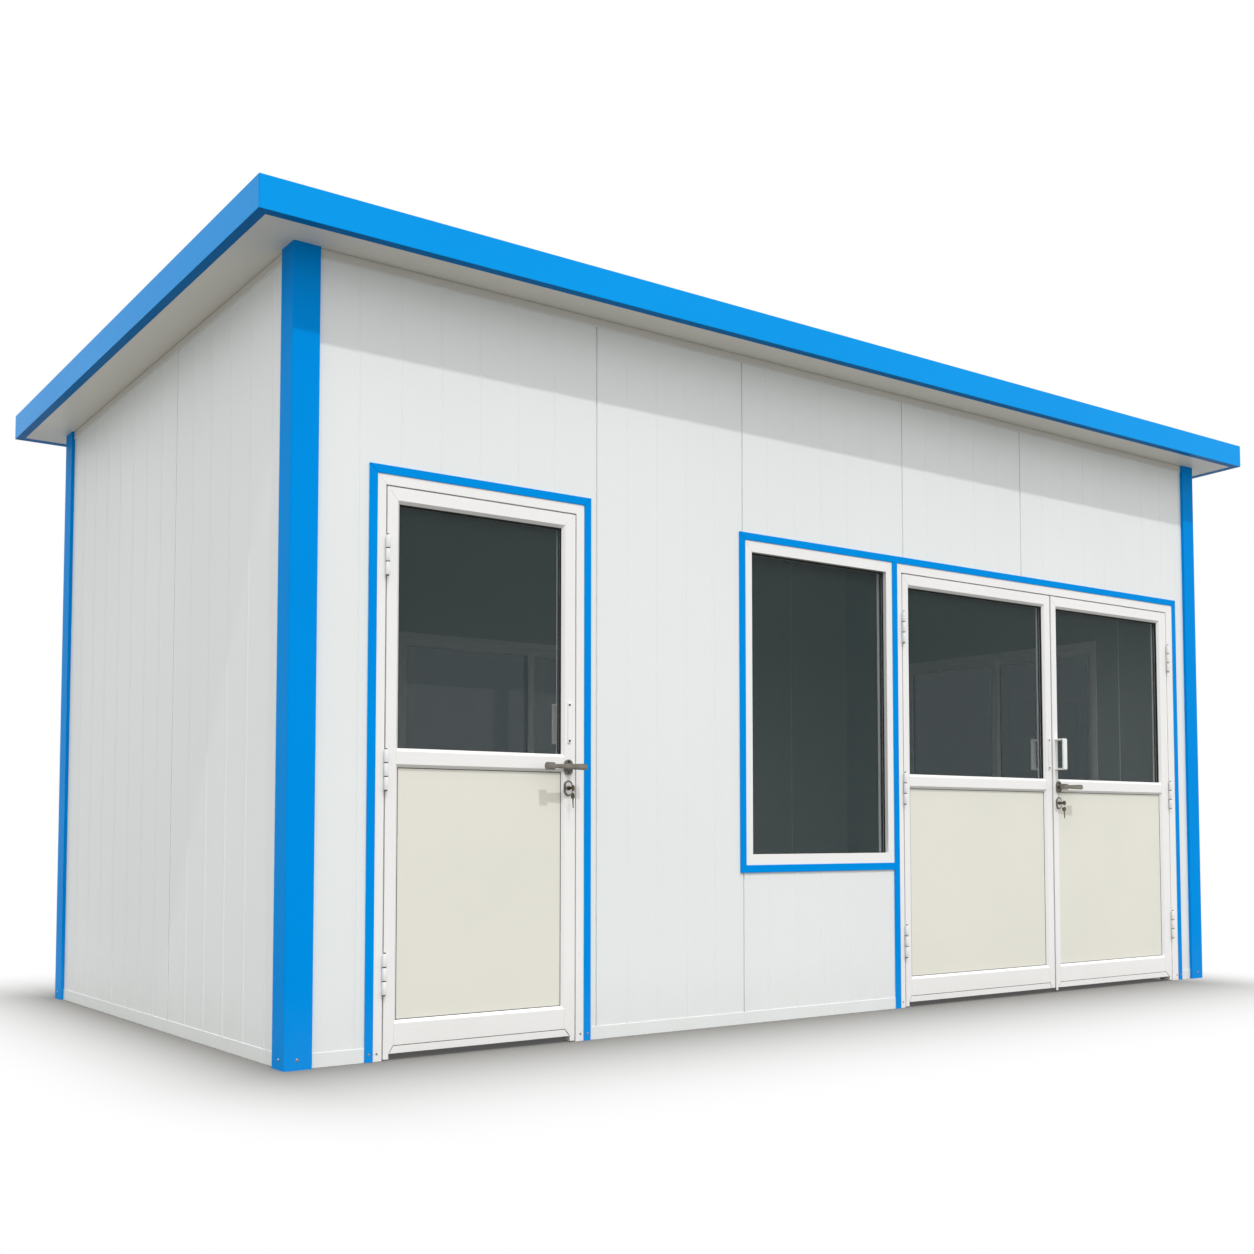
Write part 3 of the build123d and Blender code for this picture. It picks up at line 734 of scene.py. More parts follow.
@dataclass
class Wall:
    """One side of the shell: sandwich panels with raised ribs and open seams between panels."""

    facing: Facing
    nodes: tuple[str, ...]
    seams: tuple[float, ...]
    runs: tuple[Run, ...]
    inner_seams: tuple[float, ...] = ()
    rib_half: float = 5.0 * MM
    rib_rise: float = 2.4 * MM
    seam_half: float = 1.8 * MM
    seam_lip: float = 1.8 * MM
    seam_depth: float = 7.0 * MM
    margin: float = 12.0 * MM

    def lines(self) -> list[tuple[float, float, tuple[float, ...], float]]:
        """List the lines of both faces.

        Returns:
            Side of each line, 1 outside and -1 inside, its place, the cuts across it and its depth, a rise
            being a depth below zero.
        """
        half, lip, rib = self.seam_half, self.seam_lip, self.rib_half
        outer, inner = (-half - lip, -half, half, half + lip), (-rib, -rib / 2, rib / 2, rib)
        seams = [(1.0, place, outer, self.seam_depth) for place in self.seams]
        ribs = [(1.0, place, (-rib, 0.0, rib), -self.rib_rise) for run in self.runs for place in run.places()]
        lining = [(-1.0, place, inner, self.seam_depth) for place in self.inner_seams]
        return seams + ribs + lining

    def build(self) -> None:
        """Raise the ribs and sink the seams of each piece of the wall, and line its inside."""
        out, along = self.facing.outward, self.facing.along
        for node in self.nodes:
            piece = Bench.cast(node, f"{node}_sheet")
            low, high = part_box(node)
            back, face = sorted((low.dot(out), high.dot(out)))
            ends = sorted((low.dot(along), high.dot(along)))
            for side, place, edges, depth in self.lines():
                level = face if side > 0.0 else back
                if ends[0] + self.margin < place < ends[1] - self.margin:
                    Bench.score(piece, along * place, along, -out * side * depth, edges,
                                lambda point: abs(point.dot(out) - level) < NEAR)
            Bench.fit(piece, WHITE_SHEET, BOOTH, node)
            # Painted shade: the inner faces take the grey lining.
            Bench.coat(piece, LINING_SHADE_SHEET, lambda normal, _: normal.dot(out) < -FLAT)


@dataclass
class Fixings:
    """Screws, modelled once and copied."""

    head_radius: float = 4.5 * MM
    head_height: float = 2.2 * MM
    washer: float = 0.8 * MM
    sides: int = 12

    def head(self, name: str) -> Piece:
        """Model one screw head that faces the front, at the origin.

        Args:
            name: Name of the piece.

        Returns:
            The screw head with its drive recess.
        """
        radius, height = self.head_radius, self.head_height
        steps = ((self.washer, radius * 1.35), (0.0, radius), (height * 0.6, radius * 0.9),
                 (height * 0.4, radius * 0.6), (0.0, radius * 0.3), (-height * 0.7, radius * 0.25))
        return Bench.turned(name, (0.0, 0.0, 0.0), Axis.Y, steps, sides=self.sides, back=True)

    def row(self, name: str, finish: Finish, body: str, places: Sequence[tuple[Point, Facing]]) -> Piece:
        """Set screws.

        Args:
            name: Name of the set.
            finish: Their finish.
            body: Body that carries them.
            places: Where each sits and the way it faces.

        Returns:
            The joined set.
        """
        first = self.head(f"{name}_first")
        heads = [Bench.copy(first, f"{name}_head", place, facing.turn) for place, facing in places]
        bpy.data.objects.remove(first)
        return Bench.fit(Bench.join(heads, name), finish, body)


@dataclass
class Shell:
    """Walls, posts and base channels."""

    post_screw_rise: float = 34.0 * MM
    post_screw_inset: float = 46.0 * MM
    channel_edge: float = 2.0 * MM

    def build(self) -> None:
        """Build the shell."""
        front = Wall(
            Facing.FRONT,
            ("front_left_wall", "wall_over_door", "front_middle_wall", "wall_under_window",
             "wall_over_window_and_doors", "front_right_wall"),
            (-1.378, -0.630, 0.342, 1.182),
            (Run(-2.392, 0.163, 6), Run(-1.230, 0.148, 4), Run(-0.488, 0.157, 5), Run(0.506, 0.168, 4),
             Run(1.354, 0.167, 8)),
        )
        left = Wall(
            Facing.LEFT,
            ("left_wall",),
            (0.182,),
            (Run(-1.074, 0.180, 7), Run(0.374, 0.194, 5)),
            (0.182,),
        )
        right = Wall(
            Facing.RIGHT,
            ("right_wall_sides", "right_wall_over_window", "right_wall_under_window"),
            (-0.182,),
            (Run(-1.148, 0.194, 5), Run(0.002, 0.186, 7)),
            (-0.9, 0.9),
        )
        back = Wall(
            Facing.BACK,
            ("back_wall_sides", "back_wall_over_window", "back_wall_under_window"),
            (-1.770, -0.810, 0.150, 1.110, 2.070),
            tuple(Run(-2.570 + 0.960 * bay, 0.160, 5) for bay in range(6)),
            (-2.07, -1.11, 1.0, 1.96),
        )
        for wall in (front, left, right, back):
            wall.build()
        Bench.paint(BLUE_SHEET, "corner_posts")
        channels = Bench.cast("base_channels", "base_channel_runs")
        Bench.ease(channels, self.channel_edge)
        Bench.fit(channels, WHITE_SHEET, BOOTH, "base_channels")
        self.post_screws()

    def post_screws(self) -> None:
        """Screw both outer faces of each post to the base."""
        low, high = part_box("corner_posts")
        inset, rise = self.post_screw_inset, self.post_screw_rise
        places = []
        for x in (low.x + inset, high.x - inset):
            places += [((x, low.y, rise), Facing.FRONT), ((x, high.y, rise), Facing.BACK)]
        for y in (low.y + inset, high.y - inset):
            places += [((low.x, y, rise), Facing.LEFT), ((high.x, y, rise), Facing.RIGHT)]
        Fixings().row("post_screws", SCREW_STEEL, BOOTH, places)


@dataclass
class Roof:
    """Roof panel with seams on its top and a folded edge strip round it."""

    seams: tuple[float, ...] = (-1.9, -0.95, 0.0, 0.95, 1.9)
    seam_half: float = 6.0 * MM
    seam_depth: float = 6.0 * MM
    edge: float = 1.5 * MM
    thickness: float = 110.0 * MM
    room: Pair = (2.585, 1.285)
    strips: tuple[float, ...] = (-0.75, 0.0, 0.75)
    strip_half: float = 9.0 * MM
    strip_depth: float = 2.5 * MM
    cornice: float = 26.0 * MM
    walls: Pair = (2.635, 1.335)
    post: float = 86.0 * MM
    cover_height: float = 29.0 * MM
    cover_depth: float = 4.0 * MM
    cover_gap: float = 2.5 * MM
    lip_height: float = 3.2 * MM
    lip_depth: float = 5.2 * MM
    strip_edge: float = 1.0 * MM
    top_share: float = 0.1
    fall: float = field(init=False)
    middle: float = field(init=False)

    def on_top(self, point: Vector) -> bool:
        """Whether a point of the panel is on its top."""
        return point.z > self.middle - point.y * self.fall

    def build(self) -> None:
        """Dress the roof."""
        low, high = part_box("roof_panel")
        self.fall = (high.z - low.z - self.thickness) / (high.y - low.y)
        self.middle = (low.z + high.z) / 2
        panel = Bench.cast("roof_panel", "roof_sheets")
        half = self.seam_half
        edges = (-half, -half / 2, half / 2, half)
        for place in self.seams:
            sink = Vector((0.0, 0.0, -self.seam_depth))
            Bench.score(panel, (place, 0.0, 0.0), Axis.X.way, sink, edges, self.on_top)
        Bench.fit(panel, SOFFIT_SHADE_SHEET, BOOTH, "roof_panel")
        # Painted shade: the top faces take the darker grey.
        Bench.coat(panel, ROOF_TOP_SHADE, lambda normal, _: normal.z > self.top_share)
        strips = Bench.cast("roof_fascias", "roof_edge_strips")
        Bench.ease(strips, self.edge)
        Bench.fit(strips, BLUE_EDGE, BOOTH, "roof_fascias")
        # Painted shade: downward faces of the edge strip take the darker blue.
        Bench.coat(strips, BLUE_LIP_SHADE, lambda normal, _: normal.z < -FLAT)
        self.covers()
        self.ceiling()

    def under(self, name: str, x: Sequence[float], y: Sequence[float], depth: float,
              gap: float = 0.0) -> Piece:
        """Make a strip under the ceiling that follows its fall.

        Args:
            name: Name of the piece.
            x: Both ends along X.
            y: Both ends along Y.
            depth: Height of the strip.
            gap: Room left above it.

        Returns:
            The strip.
        """
        top = self.middle - self.thickness / 2 - gap
        strip = Bench.block(name, (x[0], y[0], top - depth), (x[1], y[1], top))
        for end in y:
            Bench.move(strip, lambda point: abs(point.y - end) < NEAR, (0.0, 0.0, -end * self.fall))
        Bench.ease(strip, min(depth / 4, self.strip_edge))
        return strip

    def covers(self) -> None:
        """Cover the joint of walls and soffit by strips between the posts, painted darker as shade, with a lip
        of the wall's white below.
        """
        place = (self.walls, self.post)
        strips = self.hang("soffit_covers", *place, self.cover_depth, self.cover_height, self.cover_gap)
        Bench.fit(strips, COVER_SHADE_SHEET, BOOTH, "wall_top_trim")
        foot = self.cover_gap + self.cover_height
        lips = self.hang("soffit_lips", *place, self.lip_depth, self.lip_height, foot)
        Bench.fit(lips, WHITE_SHEET, BOOTH)

    def hang(self, name: str, faces: Pair, end: float, depth: float, height: float, gap: float = 0.0) -> Piece:
        """Hang strips below the panel, along four upright faces.

        Args:
            name: Name of the set.
            faces: X and Y of the faces.
            end: Room left at both ends of each strip.
            depth: How far the strips stand out of the faces, below zero inward.
            height: Their height.
            gap: Drop from the panel to their upper edge.

        Returns:
            The joined strips.
        """
        x, y = faces
        runs = []
        for sign in (-1.0, 1.0):
            runs.append(((end - x, x - end), sorted((sign * y, sign * (y + depth)))))
            runs.append((sorted((sign * x, sign * (x + depth))), (end - y, y - end)))
        return Bench.join([self.under(f"{name}_run", *run, height, gap) for run in runs], name)

    def ceiling(self) -> None:
        """Set the joint strips and the cornice inside, painted grey and near black as shade in the room."""
        x, half, size = self.room[0], self.strip_half, self.cornice
        strips = [self.under("ceiling_strip", (-x, x), (place - half, place + half), self.strip_depth)
                  for place in self.strips]
        # Painted shade: the ceiling strips take the grey lining too.
        Bench.fit(Bench.join(strips, "ceiling_strips"), LINING_SHADE_SHEET, BOOTH)
        # Painted shade: the near-black cornice stands for shadow lines in the corners.
        Bench.fit(self.hang("cornice", self.room, 0.0, -size, size), CORNICE_SHADE, BOOTH)


@dataclass
class Joinery:
    """Fixed frames and strips round the openings, with mitre lines at their corners."""

    line_half: float = 1.0 * MM
    line_depth: float = 2.2 * MM
    edge: float = 1.0 * MM
    door_bars: tuple[float, ...] = (37.0 * MM, 39.0 * MM, 40.0 * MM)
    pair_bars: tuple[float, ...] = (33.0 * MM, 57.0 * MM, 43.0 * MM)
    window_bars: tuple[float, ...] = (38.0 * MM, 38.0 * MM, 48.0 * MM, 45.0 * MM)
    strip: float = 31.0 * MM
    ring_band: float = 3.0 * MM
    outer_ring: Pair = (26.0 * MM, 7.0 * MM)
    inner_ring: Pair = (32.0 * MM, 10.0 * MM)
    screw_inset: float = 15.0 * MM
    screw_rise: float = 27.0 * MM
    strip_screw: Pair = (3.4 * MM, 1.6 * MM)
    jamb_screw: Pair = (3.0 * MM, 1.2 * MM)

    def mitre(self, piece: Piece, outer: Sequence[float], inner: Sequence[float], face: float) -> None:
        """Score a mitre line across the front of a corner.

        Args:
            piece: Framed piece.
            outer: X and Z of the outer corner.
            inner: X and Z of the inner corner.
            face: Y of the front face.
        """
        run = Vector((inner[0] - outer[0], 0.0, inner[1] - outer[1]))
        way = Vector((run.z, 0.0, -run.x)).normalized()
        start = Vector((outer[0], face, outer[1]))
        length = run.length

        def on_corner(point: Vector) -> bool:
            """Whether a point is on the front, near the corner."""
            along = (point - start).dot(run.normalized())
            return abs(point.y - face) < NEAR and -MM < along < length + MM

        edges = (-self.line_half, 0.0, self.line_half)
        Bench.score(piece, start, way, Vector((0.0, self.line_depth, 0.0)), edges, on_corner)

    def framed(self, node: str, finish: Finish, bars: Sequence[float]) -> Piece:
        """Ease a framed solid and score its corners.

        Args:
            node: Solid of the frame.
            finish: Its finish.
            bars: Widths of the left, right and top bars, and of the bottom bar if it has one.

        Returns:
            The dressed frame.
        """
        low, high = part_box(node)
        piece = Bench.cast(node, f"{node}_bars")
        Bench.ease(piece, self.edge)
        left, right, top, *bottom = bars
        for outer, inner in [(high.z, high.z - top)] + [(low.z, low.z + width) for width in bottom]:
            self.mitre(piece, (low.x, outer), (low.x + left, inner), low.y)
            self.mitre(piece, (high.x, outer), (high.x - right, inner), low.y)
        return Bench.fit(piece, finish, BOOTH, node)

    def build(self) -> None:
        """Dress frames, strips and panes."""
        strip = self.strip
        self.framed("door_frame", WHITE_FRAME, self.door_bars)
        self.framed("double_door_frame", WHITE_FRAME, self.pair_bars)
        self.framed("front_window_frame", WHITE_FRAME, self.window_bars)
        self.framed("door_trim", BLUE_SHEET, (strip, strip, strip))
        run = self.framed("window_and_doors_trim", BLUE_SHEET, (strip, strip, strip))
        low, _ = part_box("window_and_doors_trim")
        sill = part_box("front_window_frame")[0]
        self.mitre(run, (low.x, sill.z - strip), (low.x + strip, sill.z), low.y)
        Bench.paint(BLUE_SHEET, "mullion_post")
        for node in ("end_window_frame", "back_window_frame", "sliding_sashes"):
            piece = Bench.cast(node, f"{node}_bars")
            Bench.ease(piece, self.edge)
            Bench.fit(piece, WHITE_FRAME, BOOTH, node)
        self.panes()
        self.screws()

    def panes(self) -> None:
        """Dress the panes, painting those behind the front darker as shade, and set the rubber round the front
        one.
        """
        low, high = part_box("front_window_frame")
        panes = Bench.cast("window_panes", "panes")
        Bench.fit(panes, TINTED_GLASS, BOOTH, "window_panes")
        # Painted shade: panes behind the front take the darker glass.
        Bench.coat(panes, SHADED_BACK_GLASS, lambda _, middle: middle.y > high.y)
        left, right, top, bottom = self.window_bars
        width, height = high.x - low.x - left - right, high.z - low.z - top - bottom
        x, z = (low.x + high.x) / 2, (low.z + bottom + high.z - top) / 2
        rings = []
        for (face, depth), facing in ((self.outer_ring, Facing.FRONT), (self.inner_ring, Facing.BACK)):
            rings.append(Bench.ring("front_window_ring", (x, low.y + face, z), width, height, self.ring_band,
                                    depth, facing))
        Bench.fit(Bench.join(rings, "front_window_gaskets"), RUBBER, BOOTH)

    def screws(self) -> None:
        """Set the screws near the feet of the strips and the jambs."""
        strips, jambs = [], []
        for node, places in (("door_trim", strips), ("door_frame", jambs), ("double_door_frame", jambs)):
            low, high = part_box(node)
            for x in (low.x + self.screw_inset, high.x - self.screw_inset):
                places.append(((x, low.y, self.screw_rise), Facing.FRONT))
        low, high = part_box("window_and_doors_trim")
        strips.append(((high.x - self.screw_inset, low.y, self.screw_rise), Facing.FRONT))
        Fixings(*self.strip_screw).row("strip_screws", SCREW_STEEL, BOOTH, strips)
        Fixings(*self.jamb_screw).row("jamb_screws", SCREW_STEEL, BOOTH, jambs)


class Feet(Enum):
    """Which lower corners of a leaf reach down to the ground."""

    LEFT = (True, False)
    RIGHT = (False, True)
    BOTH = (True, True)


@dataclass
class Leaf:
    """Glazed door leaf: eased bars, joint lines, gaskets and the sweep along its foot."""

    body: str
    node: str
    feet: Feet
    bite: float = 7.0 * MM
    slope: float = 11.0 * MM
    sweep_height: float = 28.0 * MM
    sweep_recess: float = 3.0 * MM
    sweep_inset: float = 24.0 * MM
    sweep_gap: float = 2.6 * MM
    seal: float = 0.5 * MM
    foot_width: float = 21.0 * MM
    foot_gap: float = 4.0 * MM
    edge: float = 0.9 * MM
    gasket: float = 2.5 * MM
    strip_width: float = 14.0 * MM
    strip_depth: float = 2.8 * MM
    strip_rise: float = 10.0 * MM
    line_half: float = 0.9 * MM
    line_depth: float = 1.8 * MM
    line_over: float = 2.0 * MM
    gasket_gap: float = 0.2 * MM
    sweep_edge: float = 0.6 * MM
    end_edge: float = 0.5 * MM
    foot_edge: float = 1.0 * MM
    low: Vector = field(init=False)
    high: Vector = field(init=False)
    face: float = field(init=False)
    rear: float = field(init=False)
    left: float = field(init=False)
    right: float = field(init=False)
    glass_span: Pair = field(init=False)
    panel_span: Pair = field(init=False)

    def build(self) -> None:
        """Build the leaf."""
        self.low, self.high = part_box(self.node)
        glass, panel = f"{self.body}_glass", f"{self.body}_panel"
        glass_low, glass_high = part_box(glass)
        panel_low, panel_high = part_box(panel)
        self.face, self.rear = self.low.y, self.high.y
        self.left, self.right = glass_low.x + self.bite, glass_high.x - self.bite
        self.glass_span = (glass_low.z + self.bite, glass_high.z - self.bite)
        self.panel_span = (panel_low.z + self.bite, panel_high.z - self.bite)
        leaf = Bench.cast(self.node, f"{self.node}_bars")
        Bench.ease(leaf, self.edge)
        self.joint_lines(leaf)
        Bench.fit(leaf, WHITE_FRAME, self.body, self.node)
        Bench.paint(TINTED_GLASS, glass)
        Bench.paint(CREAM_PANEL, panel)
        self.gaskets((glass_low.y, glass_high.y), (panel_low.y, panel_high.y))
        self.sweep()
        self.foot()

    def joint_lines(self, leaf: Piece) -> None:
        """Score where rails meet stiles.

        Args:
            leaf: Eased leaf.
        """
        low, high = self.low, self.high
        sweep_top = low.z + self.sweep_height
        spans = ((sweep_top, self.panel_span[0] - self.slope),
                 (self.panel_span[1] + self.slope, self.glass_span[0] - self.slope))
        sink = Vector((0.0, self.line_depth, 0.0))
        edges = (-self.line_half, 0.0, self.line_half)
        over = self.line_over
        for x in (self.left - self.slope, self.right + self.slope):

            def on_joint(point: Vector) -> bool:
                """Whether a point of the front is within a rail's height."""
                inside = any(bottom - over < point.z < top + over for bottom, top in spans)
                return inside and abs(point.y - self.face) < NEAR

            Bench.score(leaf, (x, self.face, 0.0), Axis.X.way, sink, edges, on_joint)
        lines = Joinery()
        for outer, inner in ((low.x, self.left - self.slope), (high.x, self.right + self.slope)):
            lines.mitre(leaf, (outer, high.z), (inner, self.glass_span[1] + self.slope), self.face)

    def gaskets(self, glass: Sequence[float], panel: Sequence[float]) -> None:
        """Line the reveals of the glass and the panel with rubber, outside and inside.

        Args:
            glass: Y of both faces of the glass.
            panel: Y of both faces of the panel.
        """
        middle = (self.left + self.right) / 2
        for label, faces, span in (("glass", glass, self.glass_span), ("panel", panel, self.panel_span)):
            rings = []
            for face, edge, facing in zip(faces, (self.face, self.rear), (Facing.FRONT, Facing.BACK)):
                depth = abs(face - edge) - self.slope - self.gasket_gap
                rings.append(Bench.ring(f"{self.node}_{label}_ring", (middle, face, sum(span) / 2),
                                        self.right - self.left, span[1] - span[0], self.gasket, depth,
                                        facing))
            Bench.fit(Bench.join(rings, f"{self.node}_{label}_gaskets"), RUBBER, self.body)

    def sweep(self) -> None:
        """Set the sweep along the foot: a strip with slanted ends, two end pieces and a rubber seal."""
        low, high = self.low, self.high
        top, back = low.z + self.sweep_height, self.face + self.sweep_recess - self.seal
        outer = (low.x + self.sweep_inset, high.x - self.sweep_inset)
        inner = (self.left - self.slope, self.right + self.slope)
        strip = Bench.block(f"{self.node}_sweep", (outer[0], self.face, low.z),
                            (outer[1], back, top - self.sweep_gap))
        ends = []
        for side, sign in ((0, -1.0), (1, 1.0)):
            way = Vector((sign * self.sweep_height, 0.0, abs(inner[side] - outer[side]))).normalized()
            start = Vector((outer[side], self.face, low.z))
            Bench.trim(strip, start, way)
            corner = sorted(((low.x, high.x)[side], inner[side]))
            end = Bench.block(f"{self.node}_sweep_end", (corner[0], self.face, low.z), (corner[1], back, top))
            Bench.trim(end, start + way * self.sweep_gap, -way)
            Bench.ease(end, self.end_edge)
            ends.append(end)
        Bench.ease(strip, self.sweep_edge)
        Bench.fit(strip, WHITE_FRAME, self.body)
        seal = Bench.block(f"{self.node}_sweep_seal", (low.x + self.foot_gap, back, low.z + self.foot_gap),
                           (high.x - self.foot_gap, back + self.seal, top - self.seal))
        Bench.ease(seal, self.seal / 4)
        Bench.fit(seal, RUBBER, self.body)
        Bench.fit(Bench.join(ends, f"{self.node}_sweep_ends"), WHITE_FRAME, self.body)

    def meeting_strip(self) -> None:
        """Cover the joint with the other leaf by a strip along the left edge."""
        low, high = self.low, self.high
        strip = Bench.block(f"{self.node}_meeting_strip",
                            (low.x, self.face - self.strip_depth, self.strip_rise),
                            (low.x + self.strip_width, self.face, high.z))
        Bench.ease(strip, self.edge)
        Bench.fit(strip, WHITE_FRAME, self.body)

    def foot(self) -> None:
        """Close the stiles' lower ends with feet that almost reach the ground."""
        low, high = self.low, self.high
        feet = []
        for wanted, x in zip(self.feet.value, (low.x, high.x - self.foot_width)):
            if wanted:
                foot = Bench.block(f"{self.node}_foot", (x, low.y, self.foot_gap),
                                   (x + self.foot_width, high.y, low.z))
                Bench.ease(foot, self.foot_edge)
                feet.append(foot)
        Bench.fit(Bench.join(feet, f"{self.node}_feet"), WHITE_FRAME, self.body)


@dataclass
class Hinges:
    """Three hinges of a leaf: eased knuckles, and pins whose ends show above and below."""

    body: str
    line: float
    axis_y: float = -1348.0 * MM
    heights: tuple[float, ...] = (299.0 * MM, 1008.0 * MM, 1764.0 * MM)
    half: float = 71.0 * MM
    pin_radius: float = 5.0 * MM
    pin_reach: float = 4.0 * MM
    pin_sides: int = 16
    barrel: float = 8.0 * MM
    edge: float = 1.6 * MM
    soft: float = 40.0
    slant: Pair = (0.3, 0.95)
    all_heights: ClassVar[tuple[float, ...]] = (299.0 * MM, 990.0 * MM, 1008.0 * MM, 1726.0 * MM, 1764.0 * MM)

    def build(self) -> None:
        """Dress the leaf's knuckles and set the pin ends."""
        self.knuckles(f"{self.body}_hinge_knuckles", self.body)
        reach, radius = self.pin_reach, self.pin_radius
        steps = ((reach * 0.6, radius), (reach * 0.4, radius * 0.7))
        ends = []
        for height in self.heights:
            for place, down in ((height - self.half, True), (height + self.half, False)):
                ends.append(Bench.turned(f"{self.body}_pin_end", (self.line, self.axis_y, place), Axis.Z,
                                         steps, sides=self.pin_sides, back=down))
        Bench.fit(Bench.join(ends, f"{self.body}_pin_ends"), DARK_STEEL, BOOTH)

    @classmethod
    def knuckles(cls, node: str, body: str) -> None:
        """Round the rims of a set of knuckles, and paint the rims where two knuckles meet dark as shade in the
        gaps.

        Args:
            node: Solid of the knuckles.
            body: Body that carries them.
        """
        piece = Bench.cast(node, f"{node}_eased")

        def on_rim(first: Vector, second: Vector) -> bool:
            """Whether an edge is part of a knuckle's front rim."""
            level = abs(first.z - second.z) < NEAR and (first - second).length < cls.barrel / 2
            return level and max(first.y, second.y) < cls.axis_y + cls.barrel * 0.8

        def shaded_gap_rim(normal: Vector, middle: Vector) -> bool:
            """Whether a face is part of the rims where two knuckles meet."""
            near = min(abs(abs(middle.z - height) - cls.half / 3) for height in cls.all_heights)
            return cls.slant[0] < abs(normal.z) < cls.slant[1] and near < 2 * cls.edge

        Bench.rim(piece, on_rim, cls.edge)
        Bench.smooth(piece, cls.soft)
        Bench.fit(piece, WHITE_FRAME, body, node)
        # Painted shade: the rims at the gaps between knuckles take dark rubber.
        Bench.coat(piece, RUBBER, shaded_gap_rim)


@dataclass
class Pull:
    """Pull handle on one face of a leaf, and the slim plate on the other that takes its screws."""

    body: str
    outside: bool = False
    width: float = 30.0 * MM
    sheet: float = 8.0 * MM
    cap: float = 14.0 * MM
    screw_inset: float = 9.0 * MM
    flute: float = 1.2 * MM
    flute_places: tuple[float, ...] = (-0.2, 0.2)
    edge: float = 1.0 * MM
    edge_angle: float = 40.0
    screw: Pair = (3.2 * MM, 1.2 * MM)

    def build(self) -> None:
        """Ease both pieces, flute the grip and set the screws."""
        node = f"{self.body}_pulls"
        low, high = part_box(node)
        middle = (low.x + high.x) / 2
        grip = low.y if self.outside else high.y - self.sheet
        piece = Bench.cast(node, f"{node}_eased")
        Bench.ease(piece, self.edge, self.edge_angle)
        sink = Vector((0.0, self.flute, 0.0))
        edges = (-1.5 * self.flute, 0.0, 1.5 * self.flute)
        lines = [((middle + share * self.width, 0.0, 0.0), Axis.X) for share in self.flute_places]
        lines += [((0.0, 0.0, height), Axis.Z) for height in (low.z + self.cap, high.z - self.cap)]
        for place, axis in lines:
            Bench.score(piece, place, axis.way, sink, edges, lambda point: abs(point.y - grip) < NEAR)
        Bench.fit(piece, WHITE_FRAME, self.body, node)
        face, facing = (high.y, Facing.BACK) if self.outside else (low.y, Facing.FRONT)
        heights = (low.z + self.screw_inset, high.z - self.screw_inset)
        places = [((middle, face, height), facing) for height in heights]
        Fixings(*self.screw).row(f"{self.body}_pull_screws", DARK_STEEL, self.body, places)


